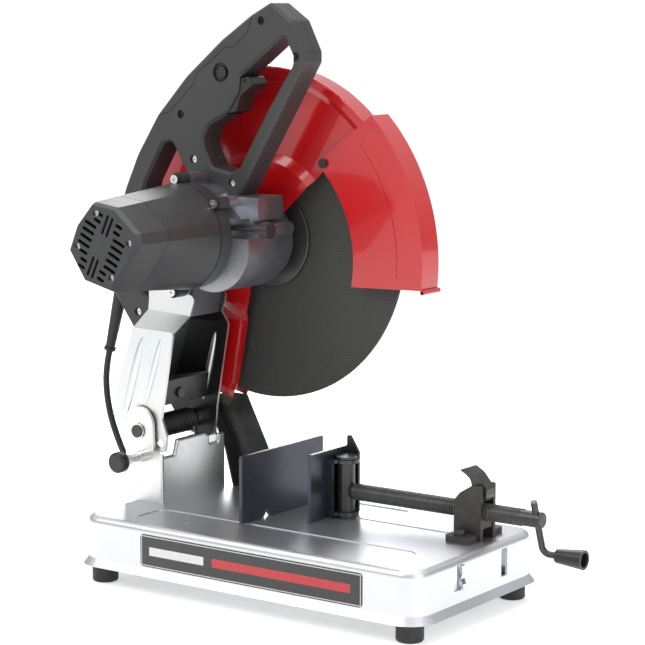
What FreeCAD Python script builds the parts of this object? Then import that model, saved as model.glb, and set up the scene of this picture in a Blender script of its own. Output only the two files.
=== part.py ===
import FreeCAD, Part
import math
import os

# Abrasive chop saw for cutting metal, 355 mm wheel, universal motor, quick-release vice.
# Millimetres. +X is the front (the vice crank), -Y the motor side, +Z up.
# The origin is on the floor, under the middle of the base pan.

# ---------------------------------------------------------------- base pan and feet
BASE_LENGTH = 442.0
BASE_WIDTH = 242.0
BASE_TOP = 73.0
LIP_BOTTOM = 20.0
LIP_TOP = 28.0
LIP_FLARE = 6.0
PAN_WALL = 2.5
PAN_CORNER = 24.0
PAN_EDGE_ROUND = 7.0
FOOT_SPACING_X = 390.0
FOOT_SPACING_Y = 194.0
FOOT_RADIUS = 14.0
FOOT_NECK_RADIUS = 8.0
FOOT_HEAD_RADIUS = 11.0
FOOT_HOLE_RADIUS = 3.5
GUSSET_THICKNESS = 2.5
GUSSET_SIZE = 52.0
GUIDE_SLOT_START = -8.0
GUIDE_SLOT_END = 157.0
GUIDE_SLOT_WIDTH = 6.0
WHEEL_SLOT_OVERRUN = 8.0
WHEEL_SLOT_WIDTH = 8.0
RECESS_DEPTH = 1.0

# ---------------------------------------------------------------- head pivot
PIVOT_X = -205.0
PIVOT_Z = 151.0
SHAFT_RADIUS = 7.0
BRACKET_NEAR = -28.0
BRACKET_FAR = 84.0
BRACKET_REAR = -223.0
BRACKET_FRONT = -172.0
BRACKET_WALL = 3.5
BRACKET_FRONT_TOP = 141.0
ARM_NEAR = -22.0
ARM_FAR = 78.0
ARM_SHEET = 3.0
ARM_TOP_NEAR = 2.0
ARM_TOP_FAR = 60.0
BUSH_RADIUS = 11.0
SPRING_RADIUS = 11.2
SPRING_WIRE = 4.2
SPRING_PITCH = 4.7
SPRING_START = -3.0
SPRING_LENGTH = 61.1
SPRING_HIGH_LEG = 20.0
SPRING_LOW_LEG = 22.0
LOCK_PIN_X = -195.5
LOCK_PIN_Z = 124.5
LOCK_PIN_RADIUS = 4.0
HEAD_TRAVEL = 44.0

# ---------------------------------------------------------------- wheel, gears and motor
WHEEL_RADIUS = 177.5
WHEEL_THICKNESS = 3.0
WHEEL_BORE = 12.7
WHEEL_Y = 101.0
SPINDLE_X = -121.0
SPINDLE_Z = 357.5
SPINDLE_RADIUS = 7.5
INNER_FLANGE_RADIUS = 55.5
OUTER_FLANGE_RADIUS = 32.0
GEAR_MODULE = 1.0
PINION_TEETH = 12
GEAR_TEETH = 49
GEAR_PRESSURE_ANGLE = math.radians(25.0)
GEAR_PLAY = 0.12
GEAR_DIRECTION = math.radians(161.5)
GEAR_NEAR = 28.0
GEAR_WIDTH = 14.0
MOTOR_FACE = -150.0
MOTOR_SHOULDER = -144.0
MOTOR_SPLIT = -105.0
MOTOR_RING = -22.0
MOTOR_END = -4.0
MOTOR_WALL = 3.0
CAP_CORNERS = [(9.6, 42.4), (-19.2, 38.5), (-47.0, 15.3), (-48.8, 4.7), (-11.6, -43.1), (20.7, -35.2),
               (40.5, -5.6), (29.6, 20.1)]
SHOULDER_SCALE = 1.06
SPLIT_SCALE = 1.14
RING_RADIUS = 57.0
RING_DROP = 0.5
DRUM_RADIUS = 50.0
MOTOR_DRUM_RADIUS = 54.0
LUG_CIRCLE = 61.0
SPINDLE_LOCK_Y = 3.0
SPINDLE_LOCK_RISE = 19.3
GEARBOX_SPLIT = 58.0
COVER_FACE = 83.0

# ---------------------------------------------------------------- guards
GUARD_RADIUS = 188.0
GUARD_SHEET = 1.5
GUARD_NEAR = 88.0
GUARD_RIM_NEAR = 86.0
GUARD_FAR = 114.0
GUARD_DISH_RADIUS = 86.0
GUARD_CONE_RADIUS = 96.5
GUARD_STEP_RADIUS = 172.0
GUARD_FRONT_ANGLE = 43.5
FRONT_GUARD_X = -133.0
FRONT_GUARD_Z = 339.0
FRONT_GUARD_RADIUS = 222.0
FRONT_GUARD_INNER = 134.5
FRONT_GUARD_GAP = 0.5
GUARD_BOLT_X = -37.0
GUARD_BOLT_Z = 443.0
GUARD_BOLT_RADIUS = 3.0
BEAD_RADIUS = 193.5
BEAD_WIDTH = 7.0

# ---------------------------------------------------------------- handle
HANDLE_NEAR = 28.0
HANDLE_FAR = 62.0
HANDLE_MID = 45.0
HANDLE_EDGE = 3.0
TRIGGER_NEAR = 31.0
TRIGGER_FAR = 59.0
TRIGGER_PIVOT_X = -103.0
TRIGGER_PIVOT_Z = 531.0
TRIGGER_TURN = 7.0
TRIGGER_GAP = 1.0
BUTTON_X = -132.0
BUTTON_Z = 539.0
BUTTON_RADIUS = 6.5
BUTTON_TRAVEL = 4.0

# ---------------------------------------------------------------- fence and vice
FENCE_FACE = -45.0
FENCE_SHEET = 4.0
FENCE_NEAR = -51.0
FENCE_END = 95.0
FENCE_TOP = 145.0
FENCE_BOLT_X = -64.0
FENCE_BOLT_Y = 78.0
FENCE_TURN = 45.0
BOLT_CLEARANCE = 0.4
SLIDE_CLEARANCE = 0.4
VICE_Y = 44.0
SCREW_Z = 101.5
SCREW_RADIUS = 9.0
SCREW_CORE = 8.2
SCREW_END = 261.0
POST_X = 21.4
POST_RADIUS = 9.3
POST_TOP = 139.0
JAW_FACE = 5.6
JAW_SHEET = 4.0
JAW_WIDTH = 80.0
JAW_TOP = 145.5
LUG_THICKNESS = 3.5
VICE_BODY_REAR = 165.0
VICE_BODY_FRONT = 197.0
VICE_GAP = 20.0
VICE_PLATE = 4.5
VICE_FOOT = 20.0
VICE_FOOT_THICKNESS = 7.0
LEVER_PIN_X = 188.5
LEVER_PIN_Z = 122.5
LEVER_PIN_RADIUS = 2.5
LEVER_WIDTH = 16.0
CRANK_X = 254.0
CRANK_RADIUS = 40.0
CRANK_TILT = 20.0
CRANK_ROD = 3.5
GRIP_START = 270.0
GRIP_LENGTH = 31.0
CRANK_BEND = 8.0

# ---------------------------------------------------------------- mains cord
CORD_DIAMETER = 7.5
COIL_X = -288.0
COIL_Y = 118.0
COIL_OUTER = 45.0
COIL_INNER = 30.0
COIL_LAYERS = 4
PLUG_X = -254.0
PLUG_Y = 228.0
FACE_GAP = 0.3

UP = FreeCAD.Vector(0, 0, 1)
ALONG_X = FreeCAD.Vector(1, 0, 0)
ALONG_Y = FreeCAD.Vector(0, 1, 0)
WALL_Y = BASE_WIDTH / 2 - LIP_FLARE
WALL_X = BASE_LENGTH / 2 - LIP_FLARE
GEAR_DISTANCE = GEAR_MODULE * (PINION_TEETH + GEAR_TEETH) / 2 + GEAR_PLAY
MOTOR_X = SPINDLE_X + GEAR_DISTANCE * math.cos(GEAR_DIRECTION)
MOTOR_Z = SPINDLE_Z + GEAR_DISTANCE * math.sin(GEAR_DIRECTION)


def at(x, y, z):
    return FreeCAD.Vector(x, y, z)


def block(x0, x1, y0, y1, z0, z1):
    return Part.makeBox(x1 - x0, y1 - y0, z1 - z0, at(x0, y0, z0))


def rod(x, y, z, radius, length, along):
    return Part.makeCylinder(radius, length, at(x, y, z), along)


def rod_y(x, z, radius, y0, y1):
    return rod(x, y0, z, radius, y1 - y0, ALONG_Y)


def rod_z(x, y, radius, z0, z1):
    return rod(x, y, z0, radius, z1 - z0, UP)


def rod_x(y, z, radius, x0, x1):
    return rod(x0, y, z, radius, x1 - x0, ALONG_X)


def tube_y(x, z, outer, inner, y0, y1):
    return rod_y(x, z, outer, y0, y1).cut(rod_y(x, z, inner, y0 - 1, y1 + 1))


def in_xz(y):
    return lambda a, b: at(a, y, b)


def in_xy(z):
    return lambda a, b: at(a, b, z)


def in_yz(x):
    return lambda a, b: at(x, a, b)


def rounded_wire(corners, place):
    """Closed wire through (a, b, radius) corners, each corner cut back to an arc of its radius."""
    edges = []
    ends = []
    count = len(corners)
    for index in range(count):
        a, b, radius = corners[index]
        before = corners[index - 1]
        after = corners[(index + 1) % count]
        here = at(a, b, 0)
        to_before = (at(before[0], before[1], 0) - here).normalize()
        to_after = (at(after[0], after[1], 0) - here).normalize()
        if radius == 0:
            ends.append((here, here, None))
            continue
        half = to_before.getAngle(to_after) / 2
        reach = radius / math.tan(half)
        middle = (to_before + to_after).normalize() * (radius / math.sin(half))
        crown = here + middle * (1 - radius / middle.Length)
        ends.append((here + to_before * reach, here + to_after * reach, crown))
    for index in range(count):
        start, end, crown = ends[index]
        following = ends[(index + 1) % count][0]
        if crown is not None:
            edges.append(Part.Arc(place(start.x, start.y), place(crown.x, crown.y),
                                  place(end.x, end.y)).toShape())
        if (following - end).Length > 1e-6:
            edges.append(Part.LineSegment(place(end.x, end.y), place(following.x, following.y)).toShape())
    return Part.Wire(edges)


def prism(corners, place, along):
    return Part.Face(rounded_wire(corners, place)).extrude(along)


def slab_xz(corners, y0, y1):
    return prism(corners, in_xz(y0), at(0, y1 - y0, 0))


def slab_xy(corners, z0, z1):
    return prism(corners, in_xy(z0), at(0, 0, z1 - z0))


def slab_yz(corners, x0, x1):
    return prism(corners, in_yz(x0), at(x1 - x0, 0, 0))


def rounded_box(x0, x1, y0, y1, radius):
    return [(x0, y0, radius), (x1, y0, radius), (x1, y1, radius), (x0, y1, radius)]


def join(shapes):
    whole = shapes[0].multiFuse(shapes[1:])
    return whole.removeSplitter()


def turned(shape, x, z, degrees):
    """Copy turned about the +Y line through (x, z)."""
    copy = shape.copy()
    copy.rotate(at(x, 0, z), ALONG_Y, degrees)
    return copy


def hexagon(across_flats, place_x, place_y):
    corner = across_flats / math.sqrt(3)
    return [(place_x + corner * math.cos(math.pi / 3 * n), place_y + corner * math.sin(math.pi / 3 * n), 0)
            for n in range(6)]


def hex_bolt_down(x, y, top, radius, length):
    """Hexagon bolt with its washer on the plane z = top, shank pointing down, and a nut at the end."""
    washer = rod_z(x, y, radius * 2.1, top, top + 1.4)
    head = slab_xy(hexagon(radius * 3.3, x, y), top + 1.4, top + 1.4 + radius * 1.3)
    shank = rod_z(x, y, radius, top - length, top + 1.4)
    return join([washer, head, shank])


def hex_nut(x, y, z, radius):
    return slab_xy(hexagon(radius * 3.3, x, y), z - radius * 1.6, z).cut(
        rod_z(x, y, radius, z - radius * 2, z + 1))


def pan_screw(x, y, z, along, radius, length):
    """Pan head screw: the head stands on the point, the shank goes in along the vector."""
    back = along * -1
    head = Part.makeCylinder(radius * 1.9, radius * 1.2, at(x, y, z), back)
    shank = Part.makeCylinder(radius, length, at(x, y, z), along)
    screw = head.fuse(shank).removeSplitter()
    cross = Part.makeBox(radius * 2.2, radius * 0.45, radius * 0.8,
                         at(-radius * 1.1, -radius * 0.225, -radius * 0.8))
    recess = cross.fuse(cross.copy().rotate(at(0, 0, 0), UP, 90))
    recess.Placement = FreeCAD.Placement(at(x, y, z) + back * (radius * 1.2), FreeCAD.Rotation(UP, back))
    return screw.cut(recess)


# ================================================================ base
def pan_block(inset, top):
    """Outer or inner volume of the pan: flared lip, straight wall, flat top."""
    def loop(half_x, half_y, corner, z):
        return rounded_wire(rounded_box(-half_x, half_x, -half_y, half_y, corner), in_xy(z))

    corner = PAN_CORNER - inset
    low = loop(BASE_LENGTH / 2 - inset, BASE_WIDTH / 2 - inset, corner + LIP_FLARE, LIP_BOTTOM)
    high = loop(WALL_X - inset, WALL_Y - inset, corner, LIP_TOP)
    flare = Part.makeLoft([low, high], True, True)
    wall = slab_xy(rounded_box(-WALL_X + inset, WALL_X - inset, -WALL_Y + inset, WALL_Y - inset, corner),
                   LIP_TOP, top)
    top_edges = [edge for edge in wall.Edges
                 if abs(edge.BoundBox.ZMin - top) < 1e-3 and abs(edge.BoundBox.ZMax - top) < 1e-3]
    return flare.fuse(wall.makeFillet(PAN_EDGE_ROUND - inset, top_edges)).removeSplitter()


def foot_places():
    return [(sx * FOOT_SPACING_X / 2, sy * FOOT_SPACING_Y / 2) for sx in (-1, 1) for sy in (-1, 1)]


def wheel_slot_reach():
    """Half length of the slot: the lowered wheel's chord at the table top, plus the overrun."""
    rest = math.atan2(SPINDLE_Z - PIVOT_Z, SPINDLE_X - PIVOT_X)
    arm = math.hypot(SPINDLE_Z - PIVOT_Z, SPINDLE_X - PIVOT_X)
    low = rest - math.radians(HEAD_TRAVEL)
    centre_x = PIVOT_X + arm * math.cos(low)
    depth = PIVOT_Z + arm * math.sin(low) - BASE_TOP
    return centre_x, math.sqrt(WHEEL_RADIUS ** 2 - depth ** 2) + WHEEL_SLOT_OVERRUN


def base_pan():
    pan = pan_block(0, BASE_TOP).cut(pan_block(PAN_WALL, BASE_TOP - PAN_WALL))
    inside = pan_block(PAN_WALL - 0.5, BASE_TOP - PAN_WALL)
    gussets = []
    for x, y in foot_places():
        sx = math.copysign(1, x)
        sy = math.copysign(1, y)
        corner = slab_xy([(sx * BASE_LENGTH / 2, sy * BASE_WIDTH / 2, 0),
                          (sx * BASE_LENGTH / 2, sy * (BASE_WIDTH / 2 - GUSSET_SIZE), 0),
                          (sx * (BASE_LENGTH / 2 - GUSSET_SIZE), sy * (BASE_WIDTH / 2 - GUSSET_SIZE), 0),
                          (sx * (BASE_LENGTH / 2 - GUSSET_SIZE), sy * BASE_WIDTH / 2, 0)],
                         LIP_BOTTOM + 1, LIP_BOTTOM + 1 + GUSSET_THICKNESS)
        gussets.append(corner.common(inside))
    pan = join([pan] + gussets)
    for x, y in foot_places():
        pan = pan.cut(rod_z(x, y, FOOT_NECK_RADIUS + FACE_GAP, 0, LIP_TOP))
    centre_x, reach = wheel_slot_reach()
    half = WHEEL_SLOT_WIDTH / 2
    cuts = [slab_xy(rounded_box(centre_x - reach, centre_x + reach, WHEEL_Y - half, WHEEL_Y + half, half - 0.1),
                    BASE_TOP - 8, BASE_TOP + 1)]
    half = GUIDE_SLOT_WIDTH / 2
    cuts.append(slab_xy(rounded_box(GUIDE_SLOT_START, GUIDE_SLOT_END, VICE_Y - half, VICE_Y + half, half - 0.1),
                        BASE_TOP - 8, BASE_TOP + 1))
    cuts.append(slab_xy(rounded_box(-160, 172, -92, -42, 14), BASE_TOP - RECESS_DEPTH, BASE_TOP + 1))
    cuts.append(rod_z(-98, -77, 2.5, BASE_TOP - 8, BASE_TOP + 1))
    cuts.append(slab_yz(rounded_box(-49, -40, 41, 66, 2), WALL_X - 8, WALL_X + 8))
    cuts.append(slab_yz(rounded_box(41, 53, 37, 66, 2), WALL_X - 8, WALL_X + 8))
    for x, y in bracket_bolt_places() + deflector_screw_places() + vice_bolt_places():
        cuts.append(rod_z(x, y, 3.0 + BOLT_CLEARANCE, BASE_TOP - 8, BASE_TOP + 1))
    for x, y in fence_bolt_places():
        cuts.append(rod_z(x, y, 4.0 + BOLT_CLEARANCE, BASE_TOP - 8, BASE_TOP + 1))
    for cut in cuts:
        pan = pan.cut(cut)
    return pan


def rubber_feet():
    feet = []
    gusset_low = LIP_BOTTOM + 1
    gusset_high = gusset_low + GUSSET_THICKNESS
    for x, y in foot_places():
        body = rod_z(x, y, FOOT_RADIUS, 0, gusset_low)
        body = body.makeFillet(3.0, [edge for edge in body.Edges if edge.BoundBox.ZMax < 0.01])
        neck = rod_z(x, y, FOOT_NECK_RADIUS, gusset_low - 1, gusset_high + 1)
        head = rod_z(x, y, FOOT_HEAD_RADIUS, gusset_high, gusset_high + 4)
        foot = join([body, neck, head]).cut(rod_z(x, y, FOOT_HOLE_RADIUS, -1, gusset_high + 5))
        feet.append(foot)
    return Part.makeCompound(feet)


def name_plate():
    return slab_xz([(-130, 29.5, 4), (151, 29.5, 4), (151, 64, 4), (-130, 64, 4)], -WALL_Y - 0.7, -WALL_Y)


def spanner_clip():
    """Wavy spring strip beside the near end slot, its top tab lying on the wall."""
    wave = [(WALL_X, 66, 0), (WALL_X + 2.4, 66, 0.8), (WALL_X + 3.2, 58, 3), (WALL_X + 1.6, 53, 3),
            (WALL_X + 4.2, 46, 3), (WALL_X + 1.4, 40, 0), (WALL_X + 0.4, 40, 0), (WALL_X + 3.0, 46, 2),
            (WALL_X + 0.6, 53, 2), (WALL_X + 2.2, 58, 2), (WALL_X + 1.4, 64.8, 0), (WALL_X, 64.8, 0)]
    return slab_xz(wave, -38.5, -32.5)


# ================================================================ pivot bracket
def bracket_bolt_places():
    middle = (BRACKET_NEAR + BRACKET_FAR) / 2
    return [(x, middle + dy) for x in (-202.0, -184.0) for dy in (-34.0, 34.0)]


def pivot_bracket():
    low = BASE_TOP
    ear_round = 19.5
    ear = [(BRACKET_REAR, low, 0), (BRACKET_FRONT, low, 0), (BRACKET_FRONT, 128, 0),
           (BRACKET_FRONT - 12, 132, 4), (PIVOT_X + ear_round, 178, ear_round - 0.1),
           (PIVOT_X - ear_round + 1.5, 178, ear_round - 2.0)]
    near = slab_xz(ear, BRACKET_NEAR, BRACKET_NEAR + BRACKET_WALL)
    far = slab_xz(ear, BRACKET_FAR - BRACKET_WALL, BRACKET_FAR)
    top = BRACKET_FRONT_TOP
    front = slab_yz([(BRACKET_NEAR, low, 0), (BRACKET_FAR, low, 0), (BRACKET_FAR, 136, 2),
                     (71, 136, 2), (71, 127, 2), (56, 127, 2), (56, 137, 3), (48, top, 6), (-1, top, 3),
                     (-6, 124.5, 3), (BRACKET_NEAR, 125, 2)],
                    BRACKET_FRONT - BRACKET_WALL, BRACKET_FRONT)
    floor = block(BRACKET_REAR, BRACKET_FRONT, BRACKET_NEAR, BRACKET_FAR, low, low + 3)
    stop = block(BRACKET_REAR, BRACKET_REAR + BRACKET_WALL, BRACKET_NEAR, BRACKET_FAR, low, low + 30)
    body = join([near, far, front, floor, stop])
    corners = [edge for edge in body.Edges
               if abs(edge.BoundBox.XMin - BRACKET_FRONT) < 1e-3 and abs(edge.BoundBox.XMax - BRACKET_FRONT) < 1e-3
               and edge.BoundBox.ZLength > 40 and edge.BoundBox.YLength < 1e-3]
    body = body.makeFillet(3.2, corners)
    body = body.cut(rod_y(PIVOT_X, PIVOT_Z, SHAFT_RADIUS, BRACKET_NEAR - 1, BRACKET_FAR + 1))
    body = body.cut(rod_y(LOCK_PIN_X, LOCK_PIN_Z, LOCK_PIN_RADIUS + SLIDE_CLEARANCE, BRACKET_NEAR - 1,
                          BRACKET_NEAR + BRACKET_WALL + 1))
    for x, y in bracket_bolt_places():
        body = body.cut(rod_z(x, y, 3.0 + BOLT_CLEARANCE, low - 1, low + 5))
    return body


def base_bolts():
    """Bolts of the bracket and screws of the deflector, with their nuts under the pan."""
    pieces = []
    for x, y in bracket_bolt_places():
        pieces.append(hex_bolt_down(x, y, BASE_TOP + 3, 3.0, 14))
        pieces.append(hex_nut(x, y, BASE_TOP - PAN_WALL, 3.0))
    for x, y in deflector_screw_places():
        pieces.append(hex_bolt_down(x, y, BASE_TOP + 1.5, 3.0, 12))
        pieces.append(hex_nut(x, y, BASE_TOP - PAN_WALL, 3.0))
    return Part.makeCompound(pieces)


def pivot_shaft():
    shaft = rod_y(PIVOT_X, PIVOT_Z, SHAFT_RADIUS, BRACKET_NEAR - 3.5, BRACKET_FAR + 3.5)
    for y in (BRACKET_NEAR - 2.2, BRACKET_FAR + 0.9):
        shaft = shaft.cut(tube_y(PIVOT_X, PIVOT_Z, SHAFT_RADIUS + 2, SHAFT_RADIUS - 0.8, y, y + 1.3))
    return shaft


def shaft_clips():
    clips = []
    for y in (BRACKET_NEAR - 2.1, BRACKET_FAR + 1.0):
        clip = tube_y(PIVOT_X, PIVOT_Z, SHAFT_RADIUS + 1.6, SHAFT_RADIUS - 0.7, y, y + 1.1)
        clips.append(clip.cut(block(PIVOT_X - 2.5, PIVOT_X + 2.5, y - 1, y + 3, PIVOT_Z - 12, PIVOT_Z)))
    return Part.makeCompound(clips)


def return_spring():
    """Torsion spring round the shaft: one leg against the bracket's front, one up the arm's web."""
    helix = Part.makeHelix(SPRING_PITCH, SPRING_LENGTH, SPRING_RADIUS)
    heading = at(0, SPRING_RADIUS, SPRING_PITCH / (2 * math.pi)).normalize()
    start = at(SPRING_RADIUS, 0, 0)
    end = at(SPRING_RADIUS, 0, SPRING_LENGTH)
    high_leg = Part.LineSegment(start - heading * SPRING_HIGH_LEG, start).toShape()
    low_leg = Part.LineSegment(end, end + heading * SPRING_LOW_LEG).toShape()
    section = Part.Wire([Part.Circle(start - heading * SPRING_HIGH_LEG, heading, SPRING_WIRE / 2).toShape()])
    coil = Part.Wire([high_leg] + helix.Edges + [low_leg]).makePipeShell([section], True, False)
    coil.rotate(at(0, 0, 0), ALONG_X, -90)
    coil.translate(at(PIVOT_X, SPRING_START, PIVOT_Z))
    return coil


def lock_boss():
    return tube_y(LOCK_PIN_X, LOCK_PIN_Z, 6.5, LOCK_PIN_RADIUS + SLIDE_CLEARANCE, BRACKET_NEAR - 14, BRACKET_NEAR)


def lock_pin():
    """Steel pin with a moulded knob; drawn out at rest, its nose flush inside the near ear."""
    nose = BRACKET_NEAR + BRACKET_WALL
    pin = rod_y(LOCK_PIN_X, LOCK_PIN_Z, LOCK_PIN_RADIUS, BRACKET_NEAR - 36, nose)
    knob_neck = Part.makeCone(8.0, 5.5, 10, at(LOCK_PIN_X, BRACKET_NEAR - 38, LOCK_PIN_Z), ALONG_Y)
    knob_disc = rod_y(LOCK_PIN_X, LOCK_PIN_Z, 11.3, BRACKET_NEAR - 50, BRACKET_NEAR - 38)
    knob_disc = knob_disc.makeFillet(3.0, [edge for edge in knob_disc.Edges if len(edge.Vertexes) == 1])
    knob = knob_neck.fuse(knob_disc).removeSplitter()
    knob = knob.cut(rod_y(LOCK_PIN_X, LOCK_PIN_Z, LOCK_PIN_RADIUS, BRACKET_NEAR - 36, nose))
    return Part.makeCompound([pin, knob])


# ================================================================ spark deflector
def deflector_screw_places():
    return [(-140.0, 99.0), (-123.0, 99.0)]


def spark_deflector():
    """Bent plate on the table behind the wheel: a back plate leaning away and a far cheek."""
    near = GUARD_NEAR + 4.0
    far = WHEEL_Y + 6.5
    sheet = 1.5
    back = slab_xz([(-168, BASE_TOP, 0), (-166, BASE_TOP, 0), (-178, 118, 0), (-207, 172, 0),
                    (-209, 172, 0), (-180, 118, 0)], near, far)
    cheek = slab_xz([(-168, BASE_TOP, 0), (-110, BASE_TOP, 0), (-128.6, 119, 0), (-158.5, 177, 0),
                     (-176, 177, 8), (-209, 172, 0), (-180, 118, 0)], far - sheet, far)
    foot = block(-168, -110, near, far, BASE_TOP, BASE_TOP + sheet)
    plate = join([back, cheek, foot])
    for x, y in deflector_screw_places():
        plate = plate.cut(rod_z(x, y, 3.0 + BOLT_CLEARANCE, BASE_TOP - 1, BASE_TOP + 3))
    return plate


# ================================================================ fence
def fence_bolt_places():
    return [(FENCE_BOLT_X, FENCE_BOLT_Y), (FENCE_BOLT_X - 30.0, FENCE_BOLT_Y - 37.0)]


def fence_plate():
    """Angle plate; its foot turns about the far bolt and has an arc slot for the other one."""
    rest = BASE_TOP + FACE_GAP
    wall = slab_yz([(FENCE_NEAR, rest, 0), (-14, rest, 0), (-7.5, rest + 11, 0), (-1, rest, 0),
                    (FENCE_END, rest, 0), (FENCE_END, FENCE_TOP, 2), (FENCE_NEAR, FENCE_TOP, 2)],
                   FENCE_FACE - FENCE_SHEET, FENCE_FACE)
    face = FENCE_FACE - FENCE_SHEET / 2
    foot = slab_xy([(face, 92, 0), (-76, 92, 6), (-104, 58, 6), (-104, 32, 6), (-82, 18, 6), (face, 14, 0)],
                   rest, rest + FENCE_SHEET)
    plate = join([wall, foot])
    slot_radius = math.hypot(30.0, 37.0)
    start = math.atan2(-37.0, -30.0)
    half = 4.0 + BOLT_CLEARANCE

    def arc_point(radius, angle):
        return at(FENCE_BOLT_X + radius * math.cos(angle), FENCE_BOLT_Y + radius * math.sin(angle), rest - 1)

    turn = math.radians(FENCE_TURN)
    arcs = []
    for radius in (slot_radius + half, slot_radius - half):
        arcs.append(Part.Arc(arc_point(radius, start), arc_point(radius, start + turn / 2),
                             arc_point(radius, start + turn)).toShape())
    for angle, beyond in ((start, -half / slot_radius), (start + turn, half / slot_radius)):
        arcs.append(Part.Arc(arc_point(slot_radius + half, angle), arc_point(slot_radius, angle + beyond),
                             arc_point(slot_radius - half, angle)).toShape())
    slot = Part.Face(Part.Wire(Part.__sortEdges__(arcs))).extrude(at(0, 0, FENCE_SHEET + 2))
    plate = plate.cut(slot)
    return plate.cut(rod_z(FENCE_BOLT_X, FENCE_BOLT_Y, 4.0 + BOLT_CLEARANCE, rest - 1, rest + FENCE_SHEET + 1))


def fence_bolts():
    pieces = []
    for x, y in fence_bolt_places():
        pieces.append(hex_bolt_down(x, y, BASE_TOP + FENCE_SHEET + 2 * FACE_GAP, 4.0, 18))
        pieces.append(hex_nut(x, y, BASE_TOP - PAN_WALL, 4.0))
    return Part.makeCompound(pieces)


# ================================================================ vice
def vice_bolt_places():
    offset = VICE_GAP / 2 + VICE_PLATE + VICE_FOOT / 2
    return [(178.0, VICE_Y - offset), (178.0, VICE_Y + offset)]


def vice_body():
    """Cast bracket: two cheeks with a bed for the screw between them, and a foot on each side."""
    low = BASE_TOP
    cheek = [(VICE_BODY_REAR, low, 0), (VICE_BODY_FRONT, low, 0), (VICE_BODY_FRONT, 130, 2),
             (LEVER_PIN_X - 2.5, 130, 2), (172, 121.5, 6), (VICE_BODY_REAR, 113, 4)]
    inner = VICE_GAP / 2
    outer = inner + VICE_PLATE
    near = slab_xz(cheek, VICE_Y - outer, VICE_Y - inner)
    far = slab_xz(cheek, VICE_Y + inner, VICE_Y + outer)
    bed = slab_yz([(VICE_Y - inner, 85, 0), (VICE_Y + inner, 85, 0), (VICE_Y + inner, SCREW_Z - 4, 0),
                   (VICE_Y - inner, SCREW_Z - 4, 0)], VICE_BODY_REAR + 3, VICE_BODY_FRONT - 1)
    bed = bed.cut(rod_x(VICE_Y, SCREW_Z, SCREW_RADIUS + SLIDE_CLEARANCE, VICE_BODY_REAR, VICE_BODY_FRONT))
    feet = []
    for side in (-1, 1):
        edge = VICE_Y + side * (outer - 1)
        tip = VICE_Y + side * (outer + VICE_FOOT)
        feet.append(slab_xy([(VICE_BODY_REAR, edge, 0), (VICE_BODY_FRONT - 3, edge, 0),
                             (VICE_BODY_FRONT - 3, tip, 2), (VICE_BODY_REAR, tip, 6)],
                            low, low + VICE_FOOT_THICKNESS))
    body = join([near, far, bed] + feet)
    for x, y in vice_bolt_places():
        body = body.cut(rod_z(x, y, 3.0 + BOLT_CLEARANCE, low - 1, low + VICE_FOOT_THICKNESS + 1))
    return body.cut(rod_y(LEVER_PIN_X, LEVER_PIN_Z, LEVER_PIN_RADIUS, VICE_Y - outer - 1, VICE_Y + outer + 1))


def vice_bolts():
    pieces = []
    for x, y in vice_bolt_places():
        pieces.append(hex_bolt_down(x, y, BASE_TOP + VICE_FOOT_THICKNESS, 3.0, 18))
        pieces.append(hex_nut(x, y, BASE_TOP - PAN_WALL, 3.0))
    return Part.makeCompound(pieces)


def lever_pin():
    reach = VICE_GAP / 2 + VICE_PLATE
    return rod_y(LEVER_PIN_X, LEVER_PIN_Z, LEVER_PIN_RADIUS, VICE_Y - reach, VICE_Y + reach)


def release_lever():
    """Quick-release claw: horn above the cheeks, toothed nose on the screw, turning on its pin."""
    nose = LEVER_PIN_Z - SCREW_Z - SCREW_RADIUS - 0.6
    horn = [(167, 143, 1), (177, 147, 4), (187, 141.5, 12), (195, 132, 6), (199.5, 127, 4), (199.5, 119, 6),
            (194, LEVER_PIN_Z - nose, 5), (181, LEVER_PIN_Z - nose, 0), (180, 121, 6), (182, 129, 6),
            (180, 135, 8), (174, 139.5, 6)]
    lever = slab_xz(horn, VICE_Y - LEVER_WIDTH / 2, VICE_Y + LEVER_WIDTH / 2)
    return lever.cut(rod_y(LEVER_PIN_X, LEVER_PIN_Z, LEVER_PIN_RADIUS + 0.15, VICE_Y - 20, VICE_Y + 20))


def vice_post():
    """Post that the screw pushes; its key runs in the guide slot of the table."""
    rest = BASE_TOP + FACE_GAP
    base = rod_z(POST_X, VICE_Y, 11.0, rest, rest + 2.2)
    post = rod_z(POST_X, VICE_Y, POST_RADIUS, rest, POST_TOP - 3)
    cap = rod_z(POST_X, VICE_Y, 11.5, POST_TOP - 3, POST_TOP)
    key = rod_z(POST_X, VICE_Y, GUIDE_SLOT_WIDTH / 2 - SLIDE_CLEARANCE, BASE_TOP - 8, rest)
    keeper = rod_z(POST_X, VICE_Y, 8.0, BASE_TOP - 8, BASE_TOP - PAN_WALL - 1)
    whole = join([base, post, cap, key, keeper])
    journal = 5.0
    return whole.cut(rod_x(VICE_Y, SCREW_Z, journal + 0.2, POST_X - 6, POST_X + 30))


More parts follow.
